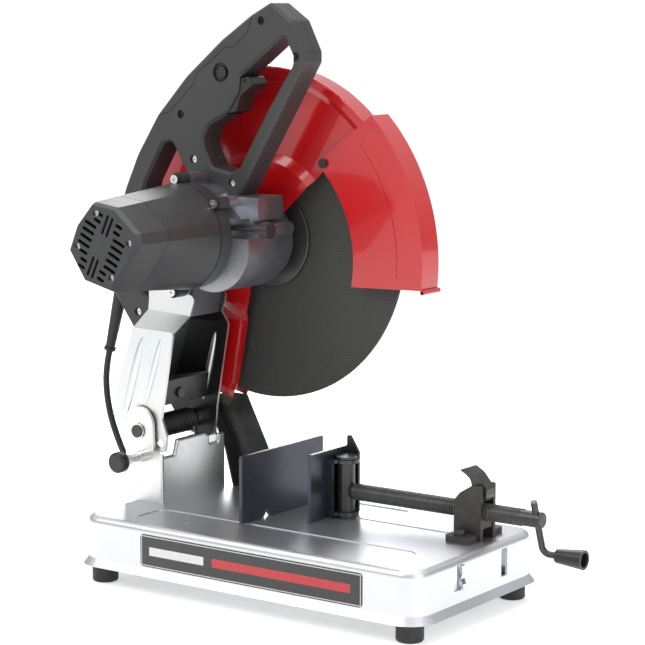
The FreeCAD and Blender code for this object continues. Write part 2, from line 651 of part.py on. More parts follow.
def vice_jaw():
    """Jaw plate with two ribs and two lugs round the post, free to swivel on it."""
    rest = BASE_TOP + FACE_GAP
    low_lug = rest + 2.2 + FACE_GAP
    high_lug = POST_TOP - 3 - FACE_GAP - LUG_THICKNESS
    near = VICE_Y - 8 - JAW_WIDTH / 2
    plate = slab_yz([(near, rest, 1), (near + JAW_WIDTH, rest, 1), (near + JAW_WIDTH, JAW_TOP, 2),
                     (near, JAW_TOP, 2)], JAW_FACE, JAW_FACE + JAW_SHEET)
    back = JAW_FACE + JAW_SHEET / 2
    lugs = []
    for z in (low_lug, high_lug):
        tongue = slab_xy([(back, VICE_Y - 20, 0), (POST_X, VICE_Y - 13, 0), (POST_X, VICE_Y + 13, 0),
                          (back, VICE_Y + 20, 0)], z, z + LUG_THICKNESS)
        lugs.append(tongue)
        lugs.append(rod_z(POST_X, VICE_Y, 14.0, z, z + LUG_THICKNESS))
    near_rib = block(back, POST_X - 4, VICE_Y - 20, VICE_Y - 17, low_lug, high_lug + LUG_THICKNESS)
    ear_top = 157.0
    far_rib = slab_xz([(back, low_lug, 0), (POST_X + 4, low_lug, 0), (POST_X + 4, 140, 2),
                       (POST_X - 7, ear_top, 2), (POST_X - 11, ear_top, 2), (POST_X - 11, high_lug, 0),
                       (back, high_lug, 0)], VICE_Y + 17, VICE_Y + 20)
    far_join = [block(back, POST_X + 3, VICE_Y + 10, VICE_Y + 18, z, z + LUG_THICKNESS)
                for z in (low_lug, high_lug)]
    jaw = join([plate, near_rib, far_rib] + lugs + far_join)
    return jaw.cut(rod_z(POST_X, VICE_Y, POST_RADIUS + FACE_GAP, rest - 1, POST_TOP))


def threaded_rod():
    journal = rod_x(VICE_Y, SCREW_Z, 5.0, POST_X - 5, POST_X + POST_RADIUS + 1.5)
    shank = rod_x(VICE_Y, SCREW_Z, SCREW_CORE, POST_X + POST_RADIUS + 0.5, SCREW_END)
    shank = shank.makeFillet(1.5, [edge for edge in shank.Edges if edge.BoundBox.XMin > SCREW_END - 0.1])
    screw = journal.fuse(shank).removeSplitter()
    up = crank_up()
    hole = Part.makeCylinder(CRANK_ROD, 40, at(CRANK_X, VICE_Y, SCREW_Z) - up * 20, up)
    return screw.cut(hole)


def crank_up():
    tilt = math.radians(CRANK_TILT)
    return at(0, -math.sin(tilt), math.cos(tilt))


def grip_axis():
    down = crank_up() * -CRANK_RADIUS
    return VICE_Y + down.y, SCREW_Z + down.z


def crank_rod():
    """Round bar through the screw end, bent forward to carry the grip."""
    up = crank_up()
    hub = at(CRANK_X, VICE_Y, SCREW_Z)
    y, z = grip_axis()
    bend = CRANK_BEND
    elbow = at(CRANK_X, y, z)
    turn_start = elbow + up * bend
    turn_end = elbow + ALONG_X * bend
    middle = elbow + (up + ALONG_X) * bend - (up + ALONG_X).normalize() * bend
    end = at(GRIP_START + GRIP_LENGTH - 6, y, z)
    top = hub + up * 21
    path = Part.Wire([Part.LineSegment(top, turn_start).toShape(),
                      Part.Arc(turn_start, middle, turn_end).toShape(),
                      Part.LineSegment(turn_end, end).toShape()])
    section = Part.Wire([Part.Circle(top, up, CRANK_ROD).toShape()])
    bar = path.makePipeShell([section], True, False)
    rivet = rod_x(y, z, 5.2, end.x - 1.5, end.x + 0.8)
    return bar.fuse(rivet).removeSplitter()


def crank_grip():
    y, z = grip_axis()
    body = Part.makeCone(7.2, 10.2, GRIP_LENGTH, at(GRIP_START, y, z), ALONG_X)
    body = body.cut(rod_x(y, z, CRANK_ROD + 0.3, GRIP_START - 1, GRIP_START + GRIP_LENGTH + 1))
    end = GRIP_START + GRIP_LENGTH
    return body.cut(rod_x(y, z, 7.6, end - 8, end + 1))


# ================================================================ arm
def arm_flange(lobe):
    """Side view of one lower arm plate; the lobe is its edge below and ahead of the pivot."""
    return [(-246, 165, 4), (-226, 137, 12), (-200, 129.5, 8)] + lobe + [(-177, 167, 6), (-160, 262, 3),
                                                                     (-216, 264, 3), (-244, 183, 6)]


def arm_channel():
    """Pressed channel open to the front: wide at the pivot, stepping in to the gearbox foot."""
    pieces = []
    near_lobe = [(-172, 129.5, 5), (-169.5, 146, 6)]
    far_lobe = [(-187, 130.5, 7), (-179, 146, 6)]
    sides = ((near_lobe, ARM_NEAR, ARM_NEAR + ARM_SHEET, ARM_TOP_NEAR, ARM_TOP_NEAR + ARM_SHEET),
             (far_lobe, ARM_FAR - ARM_SHEET, ARM_FAR, ARM_TOP_FAR - ARM_SHEET, ARM_TOP_FAR))
    for lobe, low0, low1, high0, high1 in sides:
        pieces.append(slab_xz(arm_flange(lobe), low0, low1))
        pieces.append(slab_xz([(-214, 280, 0), (-156, 277, 0), (-148, 300, 6), (-211, 307, 6)], high0, high1))
        step_low = Part.Wire(Part.makePolygon([at(-216, low0, 263), at(-160, low0, 261), at(-160, low1, 261),
                                               at(-216, low1, 263), at(-216, low0, 263)]))
        step_high = Part.Wire(Part.makePolygon([at(-214, high0, 281), at(-156, high0, 278), at(-156, high1, 278),
                                                at(-214, high1, 281), at(-214, high0, 281)]))
        pieces.append(Part.makeLoft([step_low, step_high], True, True))
    web = slab_xz([(-244, 183, 0), (-216, 264, 0), (-213, 264, 0), (-240.5, 183, 0)],
                  ARM_NEAR + ARM_SHEET / 2, ARM_FAR - ARM_SHEET / 2)
    neck = slab_xz([(-214, 262, 0), (-214, 306, 0), (-210, 306, 0), (-210, 262, 0)],
                   ARM_TOP_NEAR + ARM_SHEET / 2, ARM_TOP_FAR - ARM_SHEET / 2)
    pieces.append(web)
    pieces.append(neck)
    arm = join(pieces)
    for y, z in arm_bolt_places():
        arm = arm.cut(rod_x(y, z, 3.0 + BOLT_CLEARANCE, -225, -200))
    for y0, y1 in ((ARM_NEAR - 1, ARM_NEAR + 5), (ARM_FAR - 5, ARM_FAR + 1)):
        arm = arm.cut(rod_y(PIVOT_X, PIVOT_Z, BUSH_RADIUS, y0, y1))
    for x, z in motor_lug_places():
        arm = arm.cut(rod_y(x, z, 3.2, ARM_TOP_NEAR - 1, ARM_TOP_NEAR + ARM_SHEET + 1))
    hole_x, hole_z = lock_hole()
    return arm.cut(rod_y(hole_x, hole_z, LOCK_PIN_RADIUS + 0.6, ARM_NEAR - 1, ARM_NEAR + 5))


def lock_hole():
    """Where the hole for the lock pin sits on the raised arm: the pin's place turned back up."""
    spot = turned(Part.Vertex(at(LOCK_PIN_X, 0, LOCK_PIN_Z)), PIVOT_X, PIVOT_Z, -HEAD_TRAVEL)
    return spot.X, spot.Z


def arm_bolt_places():
    return [(y, 287.0) for y in (16.0, 46.0)]


def arm_bolts():
    pieces = []
    for y, z in arm_bolt_places():
        head = slab_yz(hexagon(10.0, y, z), -218.2, -214)
        pieces.append(join([head, rod_x(y, z, 3.0, -215, -186)]))
    return Part.makeCompound(pieces)


def arm_brace():
    """Folded plate across the channel above the spring, with its bolt."""
    plate = slab_xz([(-236, 196, 0), (-188, 206, 0), (-186, 204, 0), (-192, 176, 0), (-194, 176, 0),
                     (-190, 203, 0), (-235, 193.5, 0)], ARM_NEAR + ARM_SHEET, ARM_FAR - ARM_SHEET)
    bolt = rod_x(24, 188, 5.5, -193.5, -186)
    return plate.fuse(bolt).removeSplitter()


def arm_bushes():
    pieces = []
    for y0, y1 in ((ARM_NEAR - 1.5, ARM_NEAR + 14), (ARM_FAR - 14, ARM_FAR + 1.5)):
        pieces.append(tube_y(PIVOT_X, PIVOT_Z, BUSH_RADIUS, SHAFT_RADIUS + 0.15, y0, y1))
    return Part.makeCompound(pieces)


# ================================================================ gearbox and spindle
def gearbox_screw_places():
    return [(SPINDLE_X + radius * math.cos(math.radians(a)), SPINDLE_Z + radius * math.sin(math.radians(a)))
            for a, radius in ((18, DRUM_RADIUS + 3), (-75, DRUM_RADIUS - 7), (85, DRUM_RADIUS - 6),
                              (205, DRUM_RADIUS - 6))]


def motor_lug_places():
    return [(MOTOR_X + LUG_CIRCLE * math.cos(math.radians(a)),
             MOTOR_Z - RING_DROP + LUG_CIRCLE * math.sin(math.radians(a))) for a in (94, 38, -99, 205)]


def gearbox_housing():
    drum = rod_y(SPINDLE_X, SPINDLE_Z, DRUM_RADIUS, MOTOR_END, GEARBOX_SPLIT)
    motor_drum = rod_y(MOTOR_X, MOTOR_Z - RING_DROP, MOTOR_DRUM_RADIUS, MOTOR_END, MOTOR_END + 34)
    low_drum = rod_y(MOTOR_X, MOTOR_Z, 40.0, MOTOR_END, GEARBOX_SPLIT)
    pad = block(-112, -72, 14, GEARBOX_SPLIT, 385, 409)
    foot = slab_xz([(-208, 278, 0), (-160, 276, 0), (-152, 312, 0), (-150, 330, 0), (-196, 330, 0),
                    (-207, 306, 0)], ARM_TOP_NEAR + ARM_SHEET + 0.1, ARM_TOP_FAR - ARM_SHEET - 0.1)
    pieces = [drum, motor_drum, low_drum, pad, foot]
    boss_x, boss_z = gearbox_screw_places()[0]
    pieces.append(rod_y(boss_x, boss_z, 7.0, 22, GEARBOX_SPLIT))
    for x, z in motor_lug_places():
        pieces.append(rod_y(x, z, 6.0, MOTOR_END, MOTOR_END + 24))
        pieces.append(rib_inward(x, z, 20.0, 9.0, MOTOR_END, MOTOR_END + 20))
    body = join(pieces)
    body = body.cut(block(-230, -100, ARM_TOP_NEAR - 0.1, ARM_TOP_NEAR + ARM_SHEET + 0.1, 270, 308.5))
    body = body.cut(block(SPINDLE_X + 22, SPINDLE_X + 70, MOTOR_END - 1, SPINDLE_LOCK_Y + 7,
                          SPINDLE_Z + SPINDLE_LOCK_RISE - 10, SPINDLE_Z + SPINDLE_LOCK_RISE + 11))
    body = body.cut(rod_y(SPINDLE_X, SPINDLE_Z, GEAR_MODULE * (GEAR_TEETH / 2 + 3), 20, GEARBOX_SPLIT + 1))
    body = body.cut(rod_y(MOTOR_X, MOTOR_Z, 12.0, MOTOR_END - 1, GEARBOX_SPLIT + 1))
    body = body.cut(rod_y(MOTOR_X, MOTOR_Z, 14.0, MOTOR_END - 1, MOTOR_END + 9))
    body = body.cut(rod_y(SPINDLE_X, SPINDLE_Z, 14.0, 10, 21))
    body = body.cut(rod_x(SPINDLE_LOCK_Y, SPINDLE_Z + SPINDLE_LOCK_RISE, 2.5 + SLIDE_CLEARANCE,
                          SPINDLE_X + 8, SPINDLE_X + 60))
    for x, z in gearbox_screw_places():
        body = body.cut(rod_y(x, z, 2.5, GEARBOX_SPLIT - 16, GEARBOX_SPLIT + 1))
    for x, z in motor_lug_places():
        body = body.cut(rod_y(x, z, 2.5, MOTOR_END - 1, MOTOR_END + 23))
    for y, z in arm_bolt_places():
        body = body.cut(rod_x(y, z, 3.0, -212, -186))
    return body


def rib_inward(x, z, reach, width, y0, y1):
    """Rib from a lug towards the motor's ring centre."""
    inner = at(x, 0, z) + (at(MOTOR_X, 0, MOTOR_Z - RING_DROP) - at(x, 0, z)).normalize() * reach
    return rib_between(x, z, inner.x, inner.z, width, y0, y1)


def rib_between(x0, z0, x1, z1, width, y0, y1):
    run = at(x1 - x0, 0, z1 - z0)
    side = at(-run.z, 0, run.x).normalize() * (width / 2)
    corners = [(x0 + side.x, z0 + side.z, 0), (x1 + side.x, z1 + side.z, 0),
               (x1 - side.x, z1 - side.z, 0), (x0 - side.x, z0 - side.z, 0)]
    return slab_xz(corners, y0, y1)


def gearbox_cover():
    disc = rod_y(SPINDLE_X, SPINDLE_Z, DRUM_RADIUS, GEARBOX_SPLIT, GEARBOX_SPLIT + 9)
    side = rod_y(MOTOR_X, MOTOR_Z, 36.0, GEARBOX_SPLIT, GEARBOX_SPLIT + 9)
    boss_x, boss_z = gearbox_screw_places()[0]
    boss = rod_y(boss_x, boss_z, 7.0, GEARBOX_SPLIT, GEARBOX_SPLIT + 9)
    nose = rod_y(SPINDLE_X, SPINDLE_Z, 44.0, GEARBOX_SPLIT + 8, COVER_FACE)
    collar = rod_y(SPINDLE_X, SPINDLE_Z, 21.0, COVER_FACE, COVER_FACE + 5)
    cover = join([disc, side, boss, nose, collar])
    cover = cover.cut(rod_y(SPINDLE_X, SPINDLE_Z, SPINDLE_RADIUS + 1.5, 50, 95))
    cover = cover.cut(rod_y(SPINDLE_X, SPINDLE_Z, 17.5, GEARBOX_SPLIT - 1, GEARBOX_SPLIT + 14))
    for x, z in gearbox_screw_places():
        cover = cover.cut(rod_y(x, z, 2.6, GEARBOX_SPLIT - 1, COVER_FACE))
        cover = cover.cut(rod_y(x, z, 6.5, GEARBOX_SPLIT + 9, COVER_FACE + 6))
    for x, z in guard_screw_places():
        cover = cover.cut(rod_y(x, z, 2.5, COVER_FACE - 12, COVER_FACE + 1))
    return cover


def gearbox_screws():
    return Part.makeCompound([pan_screw(x, GEARBOX_SPLIT + 9, z, ALONG_Y * -1, 2.5, 24)
                              for x, z in gearbox_screw_places()])


def spindle():
    shaft = rod_y(SPINDLE_X, SPINDLE_Z, SPINDLE_RADIUS, 12, WHEEL_Y + 4)
    seat = rod_y(SPINDLE_X, SPINDLE_Z, WHEEL_BORE - 0.1, WHEEL_Y - WHEEL_THICKNESS / 2, WHEEL_Y + 1.4)
    shaft = shaft.fuse(seat).removeSplitter()
    return shaft.cut(rod_y(SPINDLE_X, SPINDLE_Z, 5.0, WHEEL_Y - 18, WHEEL_Y + 10))


def abrasive_wheel():
    half = WHEEL_THICKNESS / 2
    return tube_y(SPINDLE_X, SPINDLE_Z, WHEEL_RADIUS, WHEEL_BORE, WHEEL_Y - half, WHEEL_Y + half)


def inner_flange():
    back = COVER_FACE + 5 + 3
    face = WHEEL_Y - WHEEL_THICKNESS / 2
    profile = [(SPINDLE_RADIUS, back, 0), (24, back, 2), (INNER_FLANGE_RADIUS, back + 4.5, 1.5),
               (INNER_FLANGE_RADIUS, face, 1), (INNER_FLANGE_RADIUS - 12, face, 0),
               (INNER_FLANGE_RADIUS - 14, face - 1.2, 0), (SPINDLE_RADIUS, face - 1.2, 0)]
    return spun(profile, 360)


def outer_flange():
    face = WHEEL_Y + WHEEL_THICKNESS / 2
    profile = [(SPINDLE_RADIUS, face + 3, 0), (WHEEL_BORE + 2, face + 1.2, 0), (OUTER_FLANGE_RADIUS - 12, face + 1.2, 0),
               (OUTER_FLANGE_RADIUS - 10, face, 0), (OUTER_FLANGE_RADIUS, face, 1),
               (OUTER_FLANGE_RADIUS, face + 3, 1), (20, face + 6, 2), (SPINDLE_RADIUS, face + 6, 0)]
    return spun(profile, 360)


def spun(profile, degrees, start=0.0):
    """Solid of revolution about the spindle line from (radius, y, corner) points."""
    wire = rounded_wire(profile, lambda r, y: at(SPINDLE_X + r, y, SPINDLE_Z))
    solid = Part.Face(wire).revolve(at(SPINDLE_X, 0, SPINDLE_Z), ALONG_Y * -1, degrees)
    if start:
        solid.rotate(at(SPINDLE_X, 0, SPINDLE_Z), ALONG_Y * -1, start)
    return solid


def wheel_bolt():
    seat = WHEEL_Y + WHEEL_THICKNESS / 2 + 6
    washer = rod_y(SPINDLE_X, SPINDLE_Z, 12.0, seat, seat + 2)
    head = slab_xz(hexagon(17.0, SPINDLE_X, SPINDLE_Z), seat + 2, seat + 8.5)
    shank = rod_y(SPINDLE_X, SPINDLE_Z, 5.0, WHEEL_Y - 16, seat + 2)
    return join([washer, head, shank])


def gear_outline(teeth, phase, y):
    """Involute tooth form as a closed wire, with a tooth centred on the phase angle."""
    pitch = GEAR_MODULE * teeth / 2
    base = pitch * math.cos(GEAR_PRESSURE_ANGLE)
    tip = pitch + 0.8 * GEAR_MODULE
    root = pitch - 1.05 * GEAR_MODULE
    involute = math.tan(GEAR_PRESSURE_ANGLE) - GEAR_PRESSURE_ANGLE
    half = math.pi / (2 * teeth) - GEAR_PLAY / pitch

    def flank(radius):
        if radius < base:
            return half + involute
        angle = math.acos(base / radius)
        return half + involute - (math.tan(angle) - angle)

    radii = [root] + [max(root, base) + (tip - max(root, base)) * n / 4 for n in range(5)]
    points = []
    for tooth in range(teeth):
        centre = phase + 2 * math.pi * tooth / teeth
        for radius in radii:
            points.append((radius, centre - flank(radius)))
        for radius in reversed(radii):
            points.append((radius, centre + flank(radius)))
    placed = []
    for radius, angle in points:
        spot = at(radius * math.cos(angle), y, radius * math.sin(angle))
        if not placed or (spot - placed[-1]).Length > 1e-4:
            placed.append(spot)
    return Part.makePolygon(placed + [placed[0]])


def drive_gear():
    phase = GEAR_DIRECTION + math.pi / GEAR_TEETH
    rim = Part.Face(Part.Wire(gear_outline(GEAR_TEETH, phase, GEAR_NEAR))).extrude(at(0, GEAR_WIDTH, 0))
    rim.translate(at(SPINDLE_X, 0, SPINDLE_Z))
    hub = rod_y(SPINDLE_X, SPINDLE_Z, 12.5, GEAR_NEAR - 4, GEAR_NEAR + GEAR_WIDTH + 10)
    gear = rim.fuse(hub).removeSplitter()
    return gear.cut(rod_y(SPINDLE_X, SPINDLE_Z, SPINDLE_RADIUS, 10, 80))


def armature():
    """Motor shaft with pinion, laminated core, windings and commutator."""
    phase = GEAR_DIRECTION + math.pi
    pinion = Part.Face(Part.Wire(gear_outline(PINION_TEETH, phase, GEAR_NEAR - 4)))
    pinion = pinion.extrude(at(0, GEAR_WIDTH + 8, 0))
    pinion.translate(at(MOTOR_X, 0, MOTOR_Z))
    pieces = [pinion,
              rod_y(MOTOR_X, MOTOR_Z, 4.5, MOTOR_FACE + 14, GEAR_NEAR + GEAR_WIDTH + 4),
              rod_y(MOTOR_X, MOTOR_Z, 21.0, -88, -40),
              rod_y(MOTOR_X, MOTOR_Z, 16.0, -97, -33),
              rod_y(MOTOR_X, MOTOR_Z, 11.0, -122, -102)]
    return join(pieces)


def cooling_fan():
    hub = tube_y(MOTOR_X, MOTOR_Z, 10.0, 4.5, -30, -12)
    disc = tube_y(MOTOR_X, MOTOR_Z, 42.0, 9.0, -14, -12)
    blade = slab_yz([(-26, MOTOR_Z + 9, 0), (-13, MOTOR_Z + 9, 0), (-13, MOTOR_Z + 41, 0),
                     (-22, MOTOR_Z + 41, 0)], MOTOR_X - 0.8, MOTOR_X + 0.8)
    blades = [turned(blade, MOTOR_X, MOTOR_Z, 30.0 * n) for n in range(12)]
    return join([hub, disc] + blades)


def bearings():
    races = ((SPINDLE_X, SPINDLE_Z, 14.0, SPINDLE_RADIUS, 11, 20),
             (SPINDLE_X, SPINDLE_Z, 17.5, SPINDLE_RADIUS, 59, 71),
             (MOTOR_X, MOTOR_Z, 14.0, 4.5, MOTOR_END + 0.5, MOTOR_END + 8.5),
             (MOTOR_X, MOTOR_Z, 9.5, 4.5, MOTOR_FACE + 16, MOTOR_FACE + 23))
    return Part.makeCompound([tube_y(x, z, outer - 0.02, inner + 0.02, y0, y1)
                              for x, z, outer, inner, y0, y1 in races])


# ================================================================ motor
def cap_loop(scale, inset, y):
    """The cap's uneven eight-sided outline at one station, scaled about the motor line."""
    spots = []
    for dx, dz in CAP_CORNERS:
        reach = math.hypot(dx, dz)
        factor = (reach * scale - inset) / reach
        spots.append(at(MOTOR_X - dx * factor, y, MOTOR_Z + dz * factor))
    return Part.makePolygon(spots + [spots[0]])


def ring_loop(inset, y):
    """The round end of the housing, split where the cap's corners run into it."""
    radius = RING_RADIUS - inset
    edges = []
    angles = [math.atan2(dz, -dx) for dx, dz in CAP_CORNERS]
    for index, angle in enumerate(angles):
        following = angles[(index + 1) % len(angles)]
        sweep = (following - angle + math.pi) % (2 * math.pi) - math.pi
        spots = [at(MOTOR_X + radius * math.cos(a), y, MOTOR_Z - RING_DROP + radius * math.sin(a))
                 for a in (angle, angle + sweep / 2, following)]
        edges.append(Part.Arc(*spots).toShape())
    return Part.Wire(edges)


def motor_form(inset, y0, y1):
    """The motor's outer (or inset) form between two stations of its length."""
    loops = [cap_loop(1.0, inset, MOTOR_FACE), cap_loop(SHOULDER_SCALE, inset, MOTOR_SHOULDER),
             cap_loop(SPLIT_SCALE, inset, MOTOR_SPLIT), ring_loop(inset, MOTOR_RING),
             ring_loop(inset, MOTOR_END)]
    lofts = [Part.makeLoft([loops[n], loops[n + 1]], True, True) for n in range(len(loops) - 1)]
    form = lofts[0].multiFuse(lofts[1:])
    return form.common(block(MOTOR_X - 90, MOTOR_X + 90, y0, y1, MOTOR_Z - 90, MOTOR_Z + 90))


def end_cap_screw_places():
    return [(MOTOR_X + dx, MOTOR_Z + dz) for dx, dz in ((-6.0, 34.0), (38.0, 6.0), (14.0, -31.0), (-31.0, -1.0))]


def motor_end_cap():
    shell = motor_form(0, MOTOR_FACE, MOTOR_SPLIT).cut(motor_form(MOTOR_WALL, MOTOR_FACE + MOTOR_WALL, MOTOR_SPLIT + 1))
    boss = tube_y(MOTOR_X, MOTOR_Z, 12.5, 9.5, MOTOR_FACE + 1, MOTOR_FACE + 23)
    shell = join([shell, boss, rod_y(MOTOR_X, MOTOR_Z, 10, MOTOR_FACE, MOTOR_FACE + MOTOR_WALL)])
    tilt = -25.0
    slots = []
    for side in (-1, 1):
        for row in range(-4, 5):
            reach = 17.0 if abs(row) < 3 else 10.0
            inner = 12.0 if abs(row) < 3 else 9.0
            x0 = MOTOR_X + side * inner
            x1 = MOTOR_X + side * (inner + reach)
            z = MOTOR_Z + row * 7.6
            slots.append(slab_xz(rounded_box(min(x0, x1), max(x0, x1), z - 1.8, z + 1.8, 1.7),
                                 MOTOR_FACE - 1, MOTOR_FACE + MOTOR_WALL + 1))
        for offset in (-3.2, 3.2):
            z0, z1 = sorted((MOTOR_Z + side * 13, MOTOR_Z + side * 35))
            slots.append(slab_xz(rounded_box(MOTOR_X + offset - 1.5, MOTOR_X + offset + 1.5, z0, z1, 1.4),
                                 MOTOR_FACE - 1, MOTOR_FACE + MOTOR_WALL + 1))
    for slot in slots:
        shell = shell.cut(turned(slot, MOTOR_X, MOTOR_Z, -tilt))
    for x, z in end_cap_screw_places():
        post = rod_y(x, z, 4.5, MOTOR_FACE + 1, MOTOR_SPLIT)
        shell = shell.fuse(post).cut(rod_y(x, z, 3.8, MOTOR_FACE - 1, MOTOR_FACE + 5))
        shell = shell.cut(rod_y(x, z, 2.0, MOTOR_FACE - 1, MOTOR_SPLIT + 1))
    return shell.removeSplitter()


def end_cap_screws():
    return Part.makeCompound([pan_screw(x, MOTOR_FACE + 5, z, ALONG_Y, 1.9, 55)
                              for x, z in end_cap_screw_places()])


def motor_housing():
    shell = motor_form(0, MOTOR_SPLIT, MOTOR_END).cut(motor_form(MOTOR_WALL + 0.5, MOTOR_SPLIT - 1, MOTOR_END + 1))
    pieces = [shell]
    for x, z in end_cap_screw_places():
        away = (at(x, 0, z) - at(MOTOR_X, 0, MOTOR_Z)).normalize() * 16
        post = rod_y(x, z, 4.5, MOTOR_SPLIT, MOTOR_SPLIT + 18)
        rib = rib_between(x, z, x + away.x, z + away.z, 6.0, MOTOR_SPLIT, MOTOR_SPLIT + 18)
        pieces.append(post.fuse(rib).common(motor_form(1.0, MOTOR_SPLIT, MOTOR_SPLIT + 18)))
    for x, z in motor_lug_places():
        pieces.append(rod_y(x, z, 6.5, MOTOR_RING, MOTOR_END))
        pieces.append(rib_inward(x, z, 7.0, 10.0, MOTOR_RING, MOTOR_END))
    body = join(pieces)
    for x, z in end_cap_screw_places():
        body = body.cut(rod_y(x, z, 1.9, MOTOR_SPLIT - 1, MOTOR_SPLIT + 19))
    for x, z in motor_lug_places():
        body = body.cut(rod_y(x, z, 2.6, MOTOR_RING - 1, MOTOR_END + 1))
        body = body.cut(rod_y(x, z, 5.4, MOTOR_RING - 12, MOTOR_RING))
    return body


def motor_screws():
    return Part.makeCompound([pan_screw(x, MOTOR_RING, z, ALONG_Y, 2.5, 40) for x, z in motor_lug_places()])


def stator():
    """Laminated field stack with its two coils."""
    stack = tube_y(MOTOR_X, MOTOR_Z, 37.0, 22.0, -84, -42)
    coils = []
    for side in (-1, 1):
        coils.append(slab_xz(rounded_box(MOTOR_X - 20, MOTOR_X + 20, min(side * 23, side * 34) + MOTOR_Z,
                                         max(side * 23, side * 31) + MOTOR_Z, 3), -84, -33))
    return join([stack] + coils)


def brush_holders():
    pieces = []
    for side in (-1, 1):
        x0, x1 = sorted((MOTOR_X + side * 11.3, MOTOR_X + side * 26))
        pieces.append(block(x0, x1, -117, -107, MOTOR_Z - 5, MOTOR_Z + 5))
    return Part.makeCompound(pieces)


# ================================================================ handle
def handle_form(y0, y1):
    """Side view of the handle: grip, front bar, web over the gearbox, spine and rear leg."""
    outer = [(-66, 613, 5), (-38, 594, 8), (-22, 562, 5), (-22, 551, 6), (-110, 407, 0), (-112, 380, 0),
             (-172, 380, 0), (-176, 415, 8), (-184, 436, 4), (-206, 472, 9), (-238, 418, 20), (-256, 360, 20),
             (-258, 312, 20), (-240, 290, 6), (-217, 290, 0), (-217, 268, 0), (-240, 258, 4), (-259, 253, 4),
             (-290, 296, 6), (-281, 352, 40), (-270, 405, 60), (-250, 447, 60), (-221, 491, 60),
             (-180, 534, 60), (-132, 573, 60), (-93, 599, 30)]
    opening = [(-49, 579, 5), (-38, 558, 3), (-38, 549, 5), (-70, 502, 0), (-109, 438, 6), (-121, 433, 6),
               (-145, 438, 6), (-155, 455, 8), (-158, 467, 8), (-150, 482, 10), (-124, 495, 4),
               (-108, 519, 4), (-106, 536, 3)]
    return slab_xz(outer, y0, y1).cut(slab_xz(opening, y0 - 1, y1 + 1))


TRIGGER_SHAPE = [(-109, 533.5, 2), (-134, 514, 5), (-137, 504, 4), (-127, 495, 4), (-114, 498, 4),
                 (-109, 514, 8), (-92, 526, 3), (-97, 535.5, 3)]


def grown(corners, growth, y0, y1):
    """The side view made wider all round by an even amount, as a slab."""
    face = Part.Face(rounded_wire(corners, in_xz(y0)))
    return face.makeOffset2D(growth).extrude(at(0, y1 - y0, 0))


def trigger():
    lever = slab_xz(TRIGGER_SHAPE, TRIGGER_NEAR, TRIGGER_FAR)
    edges = [edge for edge in lever.Edges if edge.BoundBox.YLength < 1e-3]
    lever = lever.makeFillet(1.2, edges)
    return lever.cut(rod_y(TRIGGER_PIVOT_X, TRIGGER_PIVOT_Z, 1.7, 20, 70))


def trigger_pocket():
    """Room for the trigger from rest to fully pulled, with the gap all round."""
    steps = [0.0, TRIGGER_TURN / 2, TRIGGER_TURN + 0.5]
    room = grown(TRIGGER_SHAPE, TRIGGER_GAP, TRIGGER_NEAR - TRIGGER_GAP, TRIGGER_FAR + TRIGGER_GAP)
    return [turned(room, TRIGGER_PIVOT_X, TRIGGER_PIVOT_Z, step) for step in steps]


def handle_screw_places():
    return [(-170.0, 445.0), (-118.0, 422.0), (-187.0, 493.0), (-78.0, 594.0), (-33.0, 557.0), (-251.0, 272.0)]


def switch_room():
    return block(-152, -129, 33, 57, 492, 516)


def handle_shell(y0, y1, open_side):
    """One half of the handle: hollow inside its walls, cut for switch, trigger and gearbox."""
    shell = handle_form(y0, y1)
    outer_face = y0 if open_side > 0 else y1
    edges = [edge for edge in shell.Edges
             if abs(edge.BoundBox.YMin - outer_face) < 1e-3 and abs(edge.BoundBox.YMax - outer_face) < 1e-3
             and edge.BoundBox.ZMin > 384 and edge.Length > 1.0]
    shell = shell.makeChamfer(HANDLE_EDGE, edges)
    for cut in trigger_pocket():
        shell = shell.cut(cut)
    shell = shell.cut(switch_room())
    shell = shell.cut(rod_y(SPINDLE_X, SPINDLE_Z, DRUM_RADIUS + 0.1, y0 - 1, y1 + 1))
    shell = shell.cut(rod_y(MOTOR_X, MOTOR_Z - RING_DROP, MOTOR_DRUM_RADIUS + 0.1, y0 - 1, y1 + 1))
    shell = shell.cut(strain_relief())
    for y, z in arm_bolt_places():
        shell = shell.cut(rod_x(y, z, 6.5, -225, -213))
    shell = shell.cut(block(-112.1, -70, y0 - 1, y1 + 1, 370, 409.1))
    for x, z in handle_screw_places():
        shell = shell.cut(rod_y(x, z, 2.0, HANDLE_NEAR - 1, HANDLE_FAR - 6))
        shell = shell.cut(rod_y(x, z, 4.6, HANDLE_NEAR - 1, HANDLE_NEAR + 5))
    shell = shell.cut(rod_y(TRIGGER_PIVOT_X, TRIGGER_PIVOT_Z, 1.5, HANDLE_NEAR + 1, HANDLE_FAR - 1))
    if open_side > 0:
        travel = BUTTON_TRAVEL + 1
        shell = shell.cut(rod_y(BUTTON_X, BUTTON_Z, 10.5, y0 - 1, y0 + 4))
        shell = shell.cut(rod_y(BUTTON_X, BUTTON_Z, BUTTON_RADIUS + SLIDE_CLEARANCE, y0 - 1, y0 + 11 + travel))
    return shell


def handle_shell_near():
    return handle_shell(HANDLE_NEAR, HANDLE_MID, 1)


def handle_shell_far():
    return handle_shell(HANDLE_MID, HANDLE_FAR, -1)


def handle_screws():
    pieces = [pan_screw(x, HANDLE_NEAR + 5, z, ALONG_Y, 2.0, 22) for x, z in handle_screw_places()]
    pieces.append(rod_y(TRIGGER_PIVOT_X, TRIGGER_PIVOT_Z, 1.5, HANDLE_NEAR + 1, HANDLE_FAR - 1))
    return Part.makeCompound(pieces)


def lock_button():
    button = rod_y(BUTTON_X, BUTTON_Z, BUTTON_RADIUS, HANDLE_NEAR + 0.5, HANDLE_NEAR + 11)
    return button.makeFillet(1.0, [edge for edge in button.Edges if edge.BoundBox.YMax < HANDLE_NEAR + 0.6])


